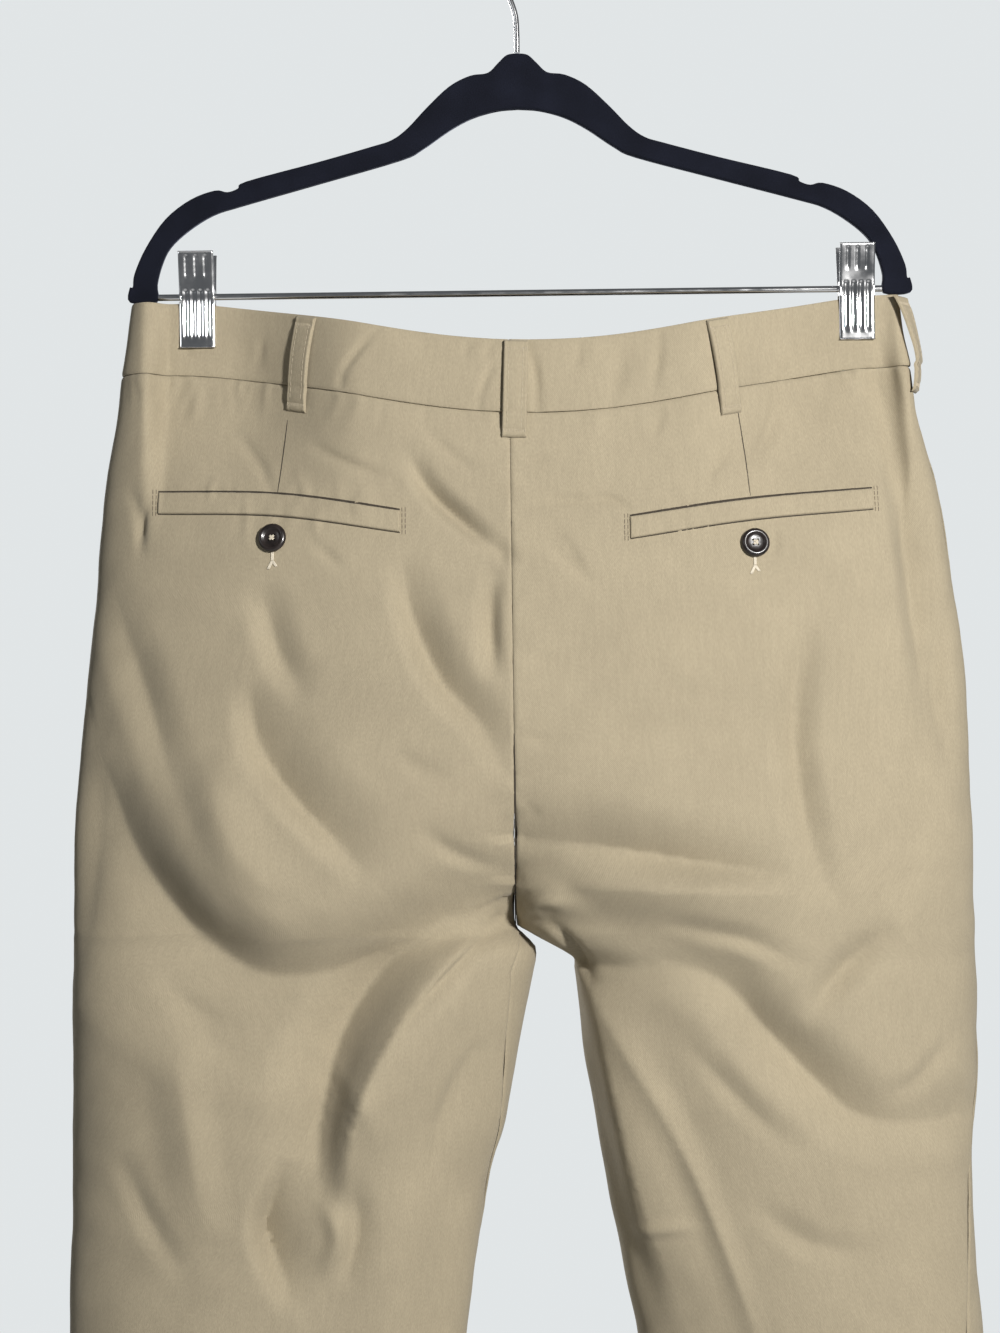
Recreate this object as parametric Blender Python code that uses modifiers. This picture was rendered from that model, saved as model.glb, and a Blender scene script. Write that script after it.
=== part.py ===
"""Chinos hung by the waistband from a clip hanger, seat side towards -Y. Metres, +Z up.

The origin is the inside crown of the hanger's hook. Left and right are the wearer's: the left leg is at -X.
Every cloth piece is a thin wall on one body form: a ring of seat, side and front for each height, with the
drape folds raised in it. Tables are in millimetres and are scaled by MM where they are read.
"""

import math

import bmesh
import bpy
import numpy as np
from mathutils import Matrix, Vector
from mathutils.bvhtree import BVHTree

MM = 0.001
SEAM_GAP = 0.3 * MM
PROBE = 12 * MM  # how far above the form a search for the cloth's face starts
CLOTH = 1.4 * MM
HEM_CLOTH = 2.8 * MM
HEM_TALL = 32 * MM
BAND_CLOTH = 2.0 * MM
BAND_PROUD = 0.8 * MM
TRIM_CLOTH = 1.2 * MM

SEAM_X = -7 * MM  # the centre seams hang a little to the left of the hook
TOP_LEVEL = -225 * MM  # waistband top, at the sides
WAIST_LEVEL = -266 * MM  # waistband seam, at the sides
CROTCH = -581 * MM
HEM_LEVEL = -1371 * MM

# Half widths of the outline, from the centre seam to each side.
OUTLINE = (
    # height, left, right
    (-226, 213.5, 222.0),
    (-250, 217.0, 225.0),
    (-267, 220.5, 228.5),
    (-295, 224.0, 232.5),
    (-331, 230.5, 242.0),
    (-365, 234.5, 247.5),
    (-400, 237.5, 252.5),
    (-433, 241.5, 256.5),
    (-467, 245.5, 258.5),
    (-501, 248.5, 259.5),
    (-535, 250.5, 260.0),
    (-569, 251.5, 261.0),
    (-620, 252.5, 261.5),
    (-688, 253.5, 260.5),
    (-722, 254.5, 257.5),
    (-755, 255.5, 258.5),
    (-814, 256.5, 262.5),
    (-930, 255.0, 261.0),
    (-1150, 250.0, 256.0),
    (-1371, 245.0, 252.0),
)
# Inner edge of each leg, from the centre seam, below the crotch. The left one bellies past the seam's line.
INSIDE_LEG = (
    # height, left, right
    (-581, 0.0, 0.0),
    (-584, -2.5, 5.5),
    (-588, -6.5, 12.5),
    (-593, -11.0, 23.0),
    (-598, -11.5, 31.0),
    (-606, -10.0, 32.5),
    (-618, -7.5, 34.0),
    (-646, -1.5, 37.0),
    (-694, 8.0, 44.5),
    (-717, 16.0, 48.5),
    (-750, 22.0, 54.0),
    (-774, 26.0, 58.5),
    (-809, 30.5, 65.5),
    (-930, 44.5, 71.0),
    (-1150, 56.5, 73.0),
    (-1371, 58.5, 72.0),
)
# The same edges as the thighs would have them without the pull at the crotch.
THIGH_GAP = (
    # height, left, right
    (-581, 0.0, 0.0),
    (-612, 0.0, 8.0),
    (-646, 2.0, 26.0),
    (-694, 10.0, 43.0),
    (-750, 23.5, 55.0),
    (-809, 32.0, 66.5),
    (-930, 46.0, 72.0),
    (-1150, 58.0, 74.0),
    (-1371, 60.0, 73.0),
)
PULL_FROM = 0.2  # the pull at the crotch moves only this part of a ring and what lies inside it
# How far the seat and the front stand out from the side seams.
DEPTHS = (
    # height, seat, front
    (-226, 42, 35),
    (-267, 48, 37),
    (-340, 58, 40),
    (-420, 66, 42),
    (-500, 71, 45),
    (-560, 69, 49),
    (-610, 64, 52),
    (-700, 56, 53),
    (-814, 51, 51),
    (-930, 50, 50),
    (-1371, 41, 41),
)
# Where the side seam and the inseam lie, in degrees past the outer and inner edges, towards the seat.
SEAM_TURNS = (
    # height, left side, right side, left inside, right inside
    (-226, -4, 4, 0, 0),
    (-581, -10, 0, 0, 0),
    (-596, -10, 0, 20, -12),
    (-690, -12, 0, 22, -18),
    (-720, -12, 14, 4, -18),
    (-814, -12, 30, -8, -14),
    (-1371, -4, 12, -4, -4),
)
RISE_TOP = -470 * MM  # the seat curve starts here and ends at the crotch
RISE_POWER = 1.3

# The waistband sags between the clips.
SAG_CENTRE = 8 * MM
SAG_REACH = 205 * MM
SEAT_SAG = 28 * MM
FRONT_SAG = 44 * MM
SAG_END = -430 * MM

# Each clip pinches the seat and the front together.
CLIPS = {-1: -183.7 * MM, 1: 191.4 * MM}
PINCH_HALF = 16 * MM
PINCH_IN = 80 * MM
PINCH_OUT = 14 * MM
PINCH_FROM = -250 * MM
PINCH_TO = -370 * MM
PINCH_GAP = 2.0 * MM

# The drape's folds. Each runs through three or more places (across, height). Depth is inwards where negative.
# Seen from the seat, a fold that runs down has its first width on the left, and one that runs right, below.
# sharp is 0 for a round fold and 1 for a crease. start and end say how much of the depth each end keeps.
SEAT_FOLDS = (
    # name, side, run, depth, first width, second width, sharp, start, end
    ("pocket to seam", -1, ((-62, -318), (-46, -345), (-30, -366), (-12, -384)), -4.5, 12, 13, 0.6, 0, 0.3),
    ("seam hollow", -1, ((-17, -384), (-19, -410), (-17, -440)), -4.0, 14, 9, 0.2, 0.2, 0),
    ("pocket to low seam", -1, ((-68, -372), (-63, -405), (-48, -440), (-26, -466), (-13, -490)),
     -6.0, 15, 22, 0.4, 0, 0.2),
    ("under button", -1, ((-146, -386), (-137, -424), (-119, -452)), -2.5, 16, 20, 0.2, 0, 0),
    ("mid seat", -1, ((-153, -440), (-150, -473), (-131, -502), (-108, -526), (-86, -550)),
     -7.5, 16, 34, 0.5, 0, 0),
    ("flank", -1, ((-232, -386), (-219, -429), (-205, -470), (-192, -508)), -6.0, 16, 22, 0.3, 0, 0),
    ("swag", -1, ((-240, -478), (-226, -526), (-206, -560), (-183, -584), (-147, -600), (-108, -597),
                  (-70, -583), (-38, -570)), -17.0, 38, 24, 0.5, 0.1, 0.2),
    ("seat bulge", -1, ((-160, -500), (-152, -550), (-130, -574)), 6.0, 26, 28, 0.0, 0, 0),
    ("thigh ridge", -1, ((-16, -578), (-44, -592), (-68, -618), (-84, -650), (-92, -690), (-96, -722)),
     17.0, 24, 62, 0.5, 0.1, 0),
    ("thigh hollow", -1, ((-24, -566), (-62, -584), (-96, -618), (-118, -660), (-124, -705), (-122, -735)),
     -14.0, 40, 26, 0.2, 0, 0),
    ("knee dent", -1, ((-138, -708), (-152, -745), (-138, -786)), -10.0, 16, 36, 0.5, 0, 0),
    ("low ridge", -1, ((-64, -700), (-76, -760), (-88, -830)), 5.0, 34, 30, 0.0, 0, 0),
    ("under seat ridge", 1, ((-2, -546), (40, -548), (84, -552), (150, -556)), 8.0, 15, 24, 0.4, 0.3, 0),
    ("thigh pull", 1, ((52, -590), (100, -606), (126, -634), (158, -664), (186, -682), (230, -686)),
     -9.0, 24, 34, 0.4, 0, 0.3),
    ("hip shade", 1, ((206, -574), (172, -602), (148, -626)), -5.0, 26, 18, 0.2, 0, 0),
    ("hip line", 1, ((156, -405), (148, -470), (155, -530), (170, -566)), -3.5, 18, 26, 0.2, 0, 0),
    ("side trough", 1, ((203, -276), (210, -317), (217, -365), (221, -409), (228, -482)),
     -7.0, 16, 22, 0.3, 0.5, 0),
    ("crotch ridge", 1, ((2, -557), (24, -584), (42, -628), (60, -662), (90, -720), (112, -770)),
     11.0, 18, 56, 0.4, 0.3, 0),
    ("crotch crease", 1, ((12, -566), (31, -590), (54, -640), (82, -696)), -3.0, 6, 9, 0.7, 0, 0),
    ("back of knee", 1, ((96, -800), (140, -850), (190, -880)), -6.0, 28, 34, 0.2, 0, 0),
    ("left calf", -1, ((-190, -900), (-150, -985), (-120, -1050)), -6.0, 30, 36, 0.2, 0, 0),
    ("right calf", 1, ((200, -960), (160, -1040), (136, -1110)), -6.0, 34, 30, 0.2, 0, 0),
)
FRONT_FOLDS = (
    ("fly to left thigh", -1, ((-30, -530), (-80, -570), (-140, -640)), -6.0, 22, 26, 0.3, 0, 0),
    ("fly to right thigh", 1, ((24, -528), (72, -566), (128, -640)), -6.0, 26, 22, 0.3, 0, 0),
    ("left whisker", -1, ((-36, -470), (-100, -490), (-170, -540)), -4.0, 16, 20, 0.4, 0, 0),
    ("right whisker", 1, ((30, -474), (96, -496), (164, -536)), -4.0, 18, 16, 0.4, 0, 0),
    ("left hip", -1, ((-170, -380), (-186, -450), (-196, -540)), -5.0, 22, 24, 0.2, 0, 0),
    ("right hip", 1, ((168, -376), (184, -452), (200, -530)), -5.0, 24, 22, 0.2, 0, 0),
    ("left thigh", -1, ((-120, -680), (-150, -760), (-160, -860)), 7.0, 34, 36, 0.1, 0, 0),
    ("right thigh", 1, ((130, -690), (160, -770), (166, -860)), 7.0, 36, 34, 0.1, 0, 0),
    ("left shin", -1, ((-120, -960), (-160, -1050), (-170, -1160)), -6.0, 30, 34, 0.2, 0, 0),
    ("right shin", 1, ((130, -940), (170, -1040), (180, -1140)), -6.0, 34, 30, 0.2, 0, 0),
)
FACING_FADE = 0.35  # folds die out this far round towards the side seams
OTHER_SIDE_FADE = 40 * MM
FOLD_BLEND = 4 * MM

# Rows of the panels, from the waist to the hem, closer where the crotch opens.
ROW_BANDS = (
    # from, to, rows
    (-266, -560, 18),
    (-560, -581, 3),
    (-581, -601, 4),
    (-601, -821, 13),
    (-821, -1371, 11),
)
SEAT_COLUMNS = 15
FRONT_COLUMNS = 11

WELTS = {
    # side: corners of the top edge and of the bottom edge, outer end first
    -1: (((-204, -334), (-136, -337), (-68, -347.5)), ((-204, -346), (-136, -349), (-68, -359.5))),
    1: (((195, -337), (126, -343), (58, -352.5)), ((195, -348.5), (126, -354.5), (58, -364.5))),
}
BUTTONS = {-1: (-138.5, -361.5), 1: (126.5, -367.5)}
BUTTON_ACROSS = 16 * MM
BUTTON_THICK = 3.2 * MM
# The button from its well over the rim and back under: share of its radius, and of its thickness.
BUTTON_PROFILE = (
    (0, 0.62), (0.5, 0.62), (0.6, 0.72), (0.7, 1), (0.84, 1), (0.97, 0.72), (1, 0.45), (0.86, 0), (0, 0),
)
WAIST_BUTTON_ACROSS = 17 * MM
WAIST_BUTTON = (-7, -290)

LOOP_WIDE = 13.5 * MM
LOOP_THICK = 2.0 * MM
LOOP_ROWS = 8
LOOP_PROBES = 13  # places across a loop where the cloth's height is taken
LOOP_TOP = -225.8
LOOP_END = -281.0
LOOPS = (
    # name, side, distance from the centre seam at the top, and at the end, facing, stand-off
    ("belt_loop_centre_back", 1, 4.0, 2.0, 1, 1.5),
    ("belt_loop_back_left", -1, 112.0, 119.0, 1, 1.5),
    ("belt_loop_back_right", 1, 115.0, 122.5, 1, 1.5),
    ("belt_loop_front_left", -1, 112.0, 112.0, -1, 1.5),
    ("belt_loop_front_right", 1, 112.0, 112.0, -1, 1.5),
)
SIDE_LOOPS = (
    # name, side, turn in degrees, stand-off
    ("belt_loop_side_left", -1, -16.0, 2.0),
    ("belt_loop_side_right", 1, 4.0, 5.0),
)

LAP = 12 * MM  # the left front band laps this far over the right
FLY_OUTLINE = ((-36, -318), (2.5, -318), (2.5, -486), (-8, -484), (-20, -474), (-30, -456), (-36, -432))
POCKET_EDGES = {
    -1: ((-168, -274), (-161, -272), (-221, -428), (-228, -426)),
    1: ((158, -272), (165, -274), (226, -424), (219, -426)),
}

ROD_LEVEL = -221 * MM
ROD_RADIUS = 1.9 * MM
ROD_HALF = 206.9 * MM
HANGER_THICK = 5.5 * MM
HANGER_EDGE = 0.9 * MM
# The bow's outline on its right half, from the neck round the shoulder to the foot and back under.
BOW = (
    (0, -84.5), (6, -85.5), (11, -90), (17, -95.5), (27, -97), (39, -103), (52, -115), (63, -126.5),
    (72, -133), (83, -136.5), (114, -145), (155, -155.5), (160, -159.5), (166, -161.5), (173, -160.5),
    (187, -165.5), (201.5, -176.5), (213, -193), (219.5, -207.5), (220.5, -214.8), (222.3, -215.5),
    (222.3, -223.5), (207, -223.5), (206.6, -213.5), (203.5, -202), (198.5, -192.5), (188, -183),
    (174, -174.5), (158, -169.5), (114, -157.5), (67, -144.5), (54.5, -138.5), (39, -128), (26, -121.2),
    (12, -117.3), (0, -116.3),
)
HOOK_WIRE = 1.55 * MM
HOOK_RADIUS = 21.5 * MM
HOOK_START = 222  # degrees round the hook's loop where the stem joins it
HOOK_END = -32
HOOK_STEP = 11
STEM = ((0, -84), (0, -72), (-0.8, -62), (-4.5, -50.5))

JAW_WIDE = 20 * MM
JAW_SHEET = 1.0 * MM
# The seat-side jaw's outer face, from its top to its lip: out from the rod's axis, and up from it.
JAW = ((9.5, 25.0), (9.3, 23.5), (6.4, 8.0), (5.5, 1.5), (4.6, -5.0), (4.6, -26.0), (5.5, -28.6))
EAR_RADIUS = 4.2 * MM
EAR_SHEET = 0.8 * MM
EAR_FOOT = 5.2 * MM  # the ear starts this far from the rod's axis, inside the jaw's sheet
EAR_NOSE = 0.9  # the ear's nose reaches this share of its radius past the rod's axis
EAR_INSET = {1: 0.6 * MM, -1: 1.8 * MM}  # the front jaw's ears lie between the seat jaw's

COLOURS = {
    # name: colour, roughness, metallic
    "khaki": ((0.43, 0.36, 0.25), 0.9, 0.0),
    "horn": ((0.035, 0.022, 0.018), 0.35, 0.0),
    "velvet": ((0.006, 0.007, 0.012), 0.95, 0.0),
    "chrome": ((0.78, 0.78, 0.79), 0.18, 1.0),
}


def material(name):
    """The named Principled material, made once."""
    if name in bpy.data.materials:
        return bpy.data.materials[name]
    colour, roughness, metallic = COLOURS[name]
    made = bpy.data.materials.new(name)
    made.use_nodes = True
    shader = made.node_tree.nodes["Principled BSDF"]
    shader.inputs["Base Color"].default_value = (*colour, 1)
    shader.inputs["Roughness"].default_value = roughness
    shader.inputs["Metallic"].default_value = metallic
    return made


def add_object(name, data, finish, collection):
    made = bpy.data.objects.new(name, data)
    collection.objects.link(made)
    made.data.materials.append(material(finish))
    return made


# ---------------------------------------------------------------- the body form


def smooth_step(value):
    value = np.clip(value, 0, 1)
    return value * value * (3 - 2 * value)


def read_table(table, column, level):
    """A table's column at these heights, on a smooth curve through its rows."""
    rows = np.array(table, float)[::-1] * MM
    heights = rows[:, 0]
    values = rows[:, column]
    level = np.clip(level, heights[0], heights[-1])
    slopes = np.gradient(values, heights)
    spot = np.clip(np.searchsorted(heights, level) - 1, 0, len(heights) - 2)
    span = heights[spot + 1] - heights[spot]
    t = (level - heights[spot]) / span
    start = (2 * t**3 - 3 * t**2 + 1) * values[spot] + (t**3 - 2 * t**2 + t) * span * slopes[spot]
    end = (3 * t**2 - 2 * t**3) * values[spot + 1] + (t**3 - t**2) * span * slopes[spot + 1]
    return start + end


def side_column(side):
    """A two-sided table's column for this side."""
    return 1 if side < 0 else 2


def rise(level):
    """0 above the seat curve and 1 at the crotch."""
    share = np.clip((RISE_TOP - level) / (RISE_TOP - CROTCH), 0, 1)
    return np.sin(math.pi / 2 * share**RISE_POWER)


def half_ring(side, level):
    """(centre, half width) of one side's ring, from the centre seam outwards."""
    outer = read_table(OUTLINE, side_column(side), level)
    curve = rise(level)
    inner = np.where(
        level > CROTCH,
        -outer * (1 - curve) / (1 + curve),
        read_table(THIGH_GAP, side_column(side), level),
    )
    return (outer + inner) / 2, (outer - inner) / 2


def crotch_pull(side, turn, level):
    """How far the pull at the crotch moves the inner part of a leg's ring outwards."""
    column = side_column(side)
    pull = read_table(INSIDE_LEG, column, level) - read_table(THIGH_GAP, column, level)
    return np.where(level > CROTCH, 0, pull) * smooth_step((-np.cos(turn) - PULL_FROM) / (1 - PULL_FROM))


def pinch(side, across, level):
    """How far the clip presses the cloth to the hanger's plane, 0 to 1."""
    past = across - abs(CLIPS[side] - SEAM_X)
    inward = np.clip((-past - PINCH_HALF) / PINCH_IN, 0, 1)
    outward = np.clip((past - PINCH_HALF) / PINCH_OUT, 0, 1)
    near = (1 - smooth_step(inward)) * (1 - smooth_step(outward))
    return near * (1 - smooth_step((PINCH_FROM - level) / (PINCH_FROM - PINCH_TO)))


def sag(x, turn, level):
    """The drop of the waist between the clips."""
    deep = np.where(np.sin(turn) > 0, SEAT_SAG, FRONT_SAG)
    shape = np.clip(1 - ((x - SAG_CENTRE) / SAG_REACH) ** 2, 0, 1) ** 2
    fade = 1 - smooth_step((WAIST_LEVEL - level) / (WAIST_LEVEL - SAG_END))
    return -deep * shape * fade


def plain_form(side, turn, level):
    """The body form without folds: turn is 0 at the outer side, a quarter at the seat, half at the inside."""
    centre, half = half_ring(side, level)
    across = centre + half * np.cos(turn) + crotch_pull(side, turn, level)
    x = SEAM_X + side * across
    deep = np.where(np.sin(turn) > 0, read_table(DEPTHS, 1, level), read_table(DEPTHS, 2, level))
    out = deep * np.abs(np.sin(turn))
    pressed = pinch(side, across, level)
    out = out * (1 - pressed) + np.minimum(out, PINCH_GAP) * pressed
    y = -np.sign(np.sin(turn)) * out
    return np.stack([x, y, level + sag(x, turn, level)], axis=-1)


def run_points(run, steps=8):
    """Points along a smooth curve through the run's places, in metres."""
    places = np.array(run, float) * MM
    ends = np.vstack([2 * places[0] - places[1], places, 2 * places[-1] - places[-2]])
    found = []
    for before, first, second, after in zip(ends, ends[1:], ends[2:], ends[3:]):
        for t in np.arange(steps) / steps:
            found.append(
                0.5
                * (
                    2 * first
                    + (second - before) * t
                    + (2 * before - 5 * first + 4 * second - after) * t**2
                    + (3 * first - before - 3 * second + after) * t**3
                )
            )
    found.append(places[-1])
    return np.array(found)


def fold_height(fold, x, z):
    """One fold's height over the places (x, z)."""
    _, _, run, depth, first_width, second_width, sharp, start, end = fold
    points = run_points(run)
    legs = np.diff(points, axis=0)
    lengths = np.linalg.norm(legs, axis=1)
    before = np.concatenate([[0], np.cumsum(lengths)])
    dx = x[..., None] - points[:-1, 0]
    dz = z[..., None] - points[:-1, 1]
    t = np.clip((dx * legs[:, 0] + dz * legs[:, 1]) / lengths**2, 0, 1)
    away = np.hypot(dx - t * legs[:, 0], dz - t * legs[:, 1])
    second = legs[:, 0] * dz - legs[:, 1] * dx > 0
    along = (before[:-1] + t * lengths) / before[-1]
    q = np.clip(away / (np.where(second, second_width, first_width) * MM), 0, 1)
    profile = (1 - q) ** 2 * (1 + 2 * (1 - sharp) * q)
    keeps = start * (1 - along) + end * along
    swell = np.maximum(keeps, np.sin(math.pi * along) ** 0.8)
    # The nearest stretches share each place, so that the inside of a bend stays smooth.
    share = np.exp((away.min(axis=-1, keepdims=True) - away) / FOLD_BLEND)
    return depth * MM * (profile * swell * share).sum(axis=-1) / share.sum(axis=-1)


def fold_lift(side, turn, place):
    """All folds' height at places of one side's form."""
    x = place[..., 0]
    z = place[..., 2]
    facing = np.sin(turn)
    lift = np.zeros(np.shape(x))
    for folds, faces in ((SEAT_FOLDS, facing), (FRONT_FOLDS, -facing)):
        weight = smooth_step(faces / FACING_FADE)
        for fold in folds:
            shared = 1 if fold[1] == side else smooth_step((z - CROTCH) / OTHER_SIDE_FADE)
            lift = lift + fold_height(fold, x, z) * weight * shared
    return lift


def form_normal(shape, side, turn, level):
    """Unit normals, facing out, by small steps round and down the form."""
    step_turn = 2e-3
    step_level = 0.3 * MM
    round_it = shape(side, turn + step_turn, level) - shape(side, turn - step_turn, level)
    down = shape(side, turn, level - step_level) - shape(side, turn, level + step_level)
    normal = np.cross(round_it, down) * side
    return normal / np.linalg.norm(normal, axis=-1, keepdims=True)


def form(side, turn, level):
    """The outer face of the cloth, with its folds."""
    place = plain_form(side, turn, level)
    lift = fold_lift(side, turn, place)
    return place + form_normal(plain_form, side, turn, level) * lift[..., None]


def seam_turns(side, level):
    """The turn of the side seam, and of the inner seam on the seat and front, at each height."""
    degrees = math.pi / 180 / MM
    columns = (1, 3) if side < 0 else (2, 4)
    at_side = read_table(SEAM_TURNS, columns[0], level) * degrees
    wrap = read_table(SEAM_TURNS, columns[1], level) * degrees
    centre, half = half_ring(side, level)
    cut = np.arccos(np.clip(-centre / half, -1, 1))
    above = level > CROTCH
    seat_inner = np.where(above, cut, math.pi - wrap)
    front_inner = np.where(above, -cut, -math.pi - wrap)
    return at_side, seat_inner, front_inner


# ---------------------------------------------------------------- walls of cloth


def wall_mesh(name, outer, inner):
    """A closed wall between two grids of points."""
    rows, columns = outer.shape[:2]
    count = rows * columns
    points = np.concatenate([outer.reshape(-1, 3), inner.reshape(-1, 3)])
    faces = []
    for row in range(rows - 1):
        for column in range(columns - 1):
            a = row * columns + column
            b, c, d = a + 1, a + columns + 1, a + columns
            faces += [(a, b, c), (a, c, d)]
            faces += [(a + count, c + count, b + count), (a + count, d + count, c + count)]
    top = list(range(columns))
    right = [row * columns + columns - 1 for row in range(rows)]
    bottom = [(rows - 1) * columns + column for column in reversed(range(columns))]
    left = [row * columns for row in reversed(range(rows))]
    edge = top + right[1:] + bottom[1:] + left[1:-1]
    for a, b in zip(edge, edge[1:] + edge[:1]):
        faces += [(a, a + count, b + count), (a, b + count, b)]
    mesh = bpy.data.meshes.new(name)
    mesh.from_pydata(points.tolist(), [], faces)
    shell = bmesh.new()
    shell.from_mesh(mesh)
    bmesh.ops.recalc_face_normals(shell, faces=shell.faces)
    shell.to_mesh(mesh)
    shell.free()
    return mesh


def keep_to_side(points, side, rows):
    """Holds these rows' points half a seam gap clear of the centre seam's plane."""
    across = (points[rows, :, 0] - SEAM_X) * side
    points[rows, :, 0] = SEAM_X + side * np.maximum(across, SEAM_GAP / 2)
    return points


def row_levels():
    levels = [ROW_BANDS[0][0]]
    for start, end, count in ROW_BANDS:
        levels += [start + (end - start) * (i + 1) / count for i in range(count)]
    return np.array(levels) * MM


def column_turns(side, level, facing):
    """Turns from the inner seam to the side seam, with half a seam gap left at each end."""
    columns = SEAT_COLUMNS if facing > 0 else FRONT_COLUMNS
    at_side, seat_inner, front_inner = seam_turns(side, level)
    inner = seat_inner if facing > 0 else front_inner
    share = np.linspace(0, 1, columns + 1)
    turns = inner[:, None] + (at_side - inner)[:, None] * share[None, :]
    small = 1e-3
    for column, towards in ((0, 1), (columns, -1)):
        turn = turns[:, column]
        speed = np.linalg.norm(form(side, turn + small, level) - form(side, turn - small, level), axis=-1) / (
            2 * small
        )
        nudge = SEAM_GAP / 2 / speed * towards * -facing
        above = (level > CROTCH) & (column == 0)
        turns[:, column] = turn + np.where(above, 0, nudge)
    return turns


def panel_grid(side, facing):
    """(outer points, normals) of one leg's seat or front panel."""
    levels = row_levels()
    turns = column_turns(side, levels, facing)
    level = np.broadcast_to(levels[:, None], turns.shape).copy()
    level[0] -= SEAM_GAP / 2
    return form(side, turns, level), form_normal(form, side, turns, level)


def make_panel(name, side, facing, collection):
    outer, normals = panel_grid(side, facing)
    levels = row_levels()
    thick = np.where(levels < HEM_LEVEL + HEM_TALL, HEM_CLOTH, CLOTH)
    inner = outer - normals * thick[:, None, None]
    above = np.where(levels >= CROTCH - 1e-9)[0]
    outer = keep_to_side(outer, side, above)
    inner = keep_to_side(inner, side, above)
    panel = add_object(name, wall_mesh(name, outer, inner), "khaki", collection)
    panel["outer_points"] = outer.shape[0] * outer.shape[1]
    return panel


def make_waistband(name, side, collection):
    """Half of the waistband: from the centre back round the side to the centre front."""
    waist = np.array([WAIST_LEVEL])
    seat = column_turns(side, waist, 1)[0]
    front = column_turns(side, waist, -1)[0][::-1]
    turns = np.concatenate([seat[:-1], front[1:]])
    levels = np.array([TOP_LEVEL, (TOP_LEVEL + WAIST_LEVEL) / 2, WAIST_LEVEL + SEAM_GAP / 2])
    turn, level = np.meshgrid(turns, levels)
    base = form(side, turn, level)
    normals = form_normal(form, side, turn, level)
    outer = base + normals * BAND_PROUD
    inner = base + normals * (BAND_PROUD - BAND_CLOTH)
    every = np.arange(len(levels))
    outer = keep_to_side(outer, side, every)
    inner = keep_to_side(inner, side, every)
    band = add_object(name, wall_mesh(name, outer, inner), "khaki", collection)
    band["outer_points"] = outer.shape[0] * outer.shape[1]
    return band


def make_waist_tab(collection):
    """The left band's buttoned end, which laps over the right band at the centre front."""
    across = np.array([-LAP * 2, -LAP * 1.2, 0.0, LAP * 0.6, LAP]) + SEAM_X
    levels = np.array([TOP_LEVEL, (TOP_LEVEL + WAIST_LEVEL) / 2, WAIST_LEVEL + SEAM_GAP / 2])
    grid = np.zeros((len(levels), len(across), 3))
    normals = np.zeros_like(grid)
    for row, level in enumerate(levels):
        for column, x in enumerate(across):
            side = -1 if x < SEAM_X else 1
            centre, half = half_ring(side, np.array(level))
            turn = -np.arccos((abs(x - SEAM_X) - centre) / half)
            grid[row, column] = form(side, turn, np.array(level))
            normals[row, column] = form_normal(form, side, turn, np.array(level))
    inner = grid + normals * (BAND_PROUD + SEAM_GAP)
    outer = inner + normals * BAND_CLOTH
    tab = add_object("waist_tab", wall_mesh("waist_tab", outer, inner), "khaki", collection)
    tab["outer_points"] = outer.shape[0] * outer.shape[1]
    return tab


def cloth_height(tree, place, normal):
    """How far the cloth's outer face stands above a place, along the normal."""
    hit = tree.ray_cast(Vector(place + normal * PROBE), Vector(-normal))[0]
    return -PROBE if hit is None else float(np.dot(np.array(hit) - place, normal))


def make_loop(name, side, turns, stand_off, tree, collection):
    """A belt loop: a narrow strip over the band, its ends down on the cloth."""
    levels = np.linspace(LOOP_TOP, LOOP_END, LOOP_ROWS) * MM
    offsets = np.linspace(-0.5, 0.5, 3) * LOOP_WIDE
    small = 1e-3
    turn = turns(levels)
    across = form(side, turn + small, levels) - form(side, turn - small, levels)
    across /= np.linalg.norm(across, axis=-1, keepdims=True)
    normal = form_normal(form, side, turn, levels)
    middle = form(side, turn, levels)
    flat = middle[:, None] + across[:, None] * offsets[None, :, None]
    probed = np.linspace(-0.5, 0.5, LOOP_PROBES) * LOOP_WIDE
    probes = middle[:, None] + across[:, None] * probed[None, :, None]
    under = [max(cloth_height(tree, place, n) for place in row) for row, n in zip(probes, normal)]
    share = (levels - levels[0]) / (levels[-1] - levels[0])
    lift = np.array(under) + SEAM_GAP + stand_off * MM * np.sin(math.pi * share) ** 0.7
    inner = flat + (normal * lift[:, None])[:, None]
    outer = inner + normal[:, None] * LOOP_THICK
    return add_object(name, wall_mesh(name, outer, inner), "khaki", collection)


def make_loops(pieces, collection):
    cloth = outer_sheet(pieces)
    tree = BVHTree.FromBMesh(cloth)
    cloth.free()
    for name, side, top, end, facing, stand_off in LOOPS:

        def turns(levels, side=side, top=top, end=end, facing=facing):
            share = (levels - levels[0]) / (levels[-1] - levels[0])
            across = (top + (end - top) * share) * MM
            centre, half = half_ring(side, levels)
            return facing * np.arccos((across - centre) / half)

        make_loop(name, side, turns, stand_off, tree, collection)
    for name, side, degrees, stand_off in SIDE_LOOPS:

        def turns(levels, degrees=degrees):
            return np.full(len(levels), math.radians(degrees))

        make_loop(name, side, turns, stand_off, tree, collection)


# ---------------------------------------------------------------- what lies on a panel


def outer_sheet(panels):
    """One open sheet of the panels' outer faces, closed over the seams between them."""
    sheet = bmesh.new()
    for panel in panels:
        count = panel["outer_points"]
        copied = {}
        for face in panel.data.polygons:
            if max(face.vertices) >= count:
                continue
            for index in face.vertices:
                if index not in copied:
                    copied[index] = sheet.verts.new(panel.data.vertices[index].co)
            sheet.faces.new([copied[index] for index in face.vertices])
    bmesh.ops.remove_doubles(sheet, verts=sheet.verts, dist=SEAM_GAP * 1.5)
    return sheet


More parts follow.
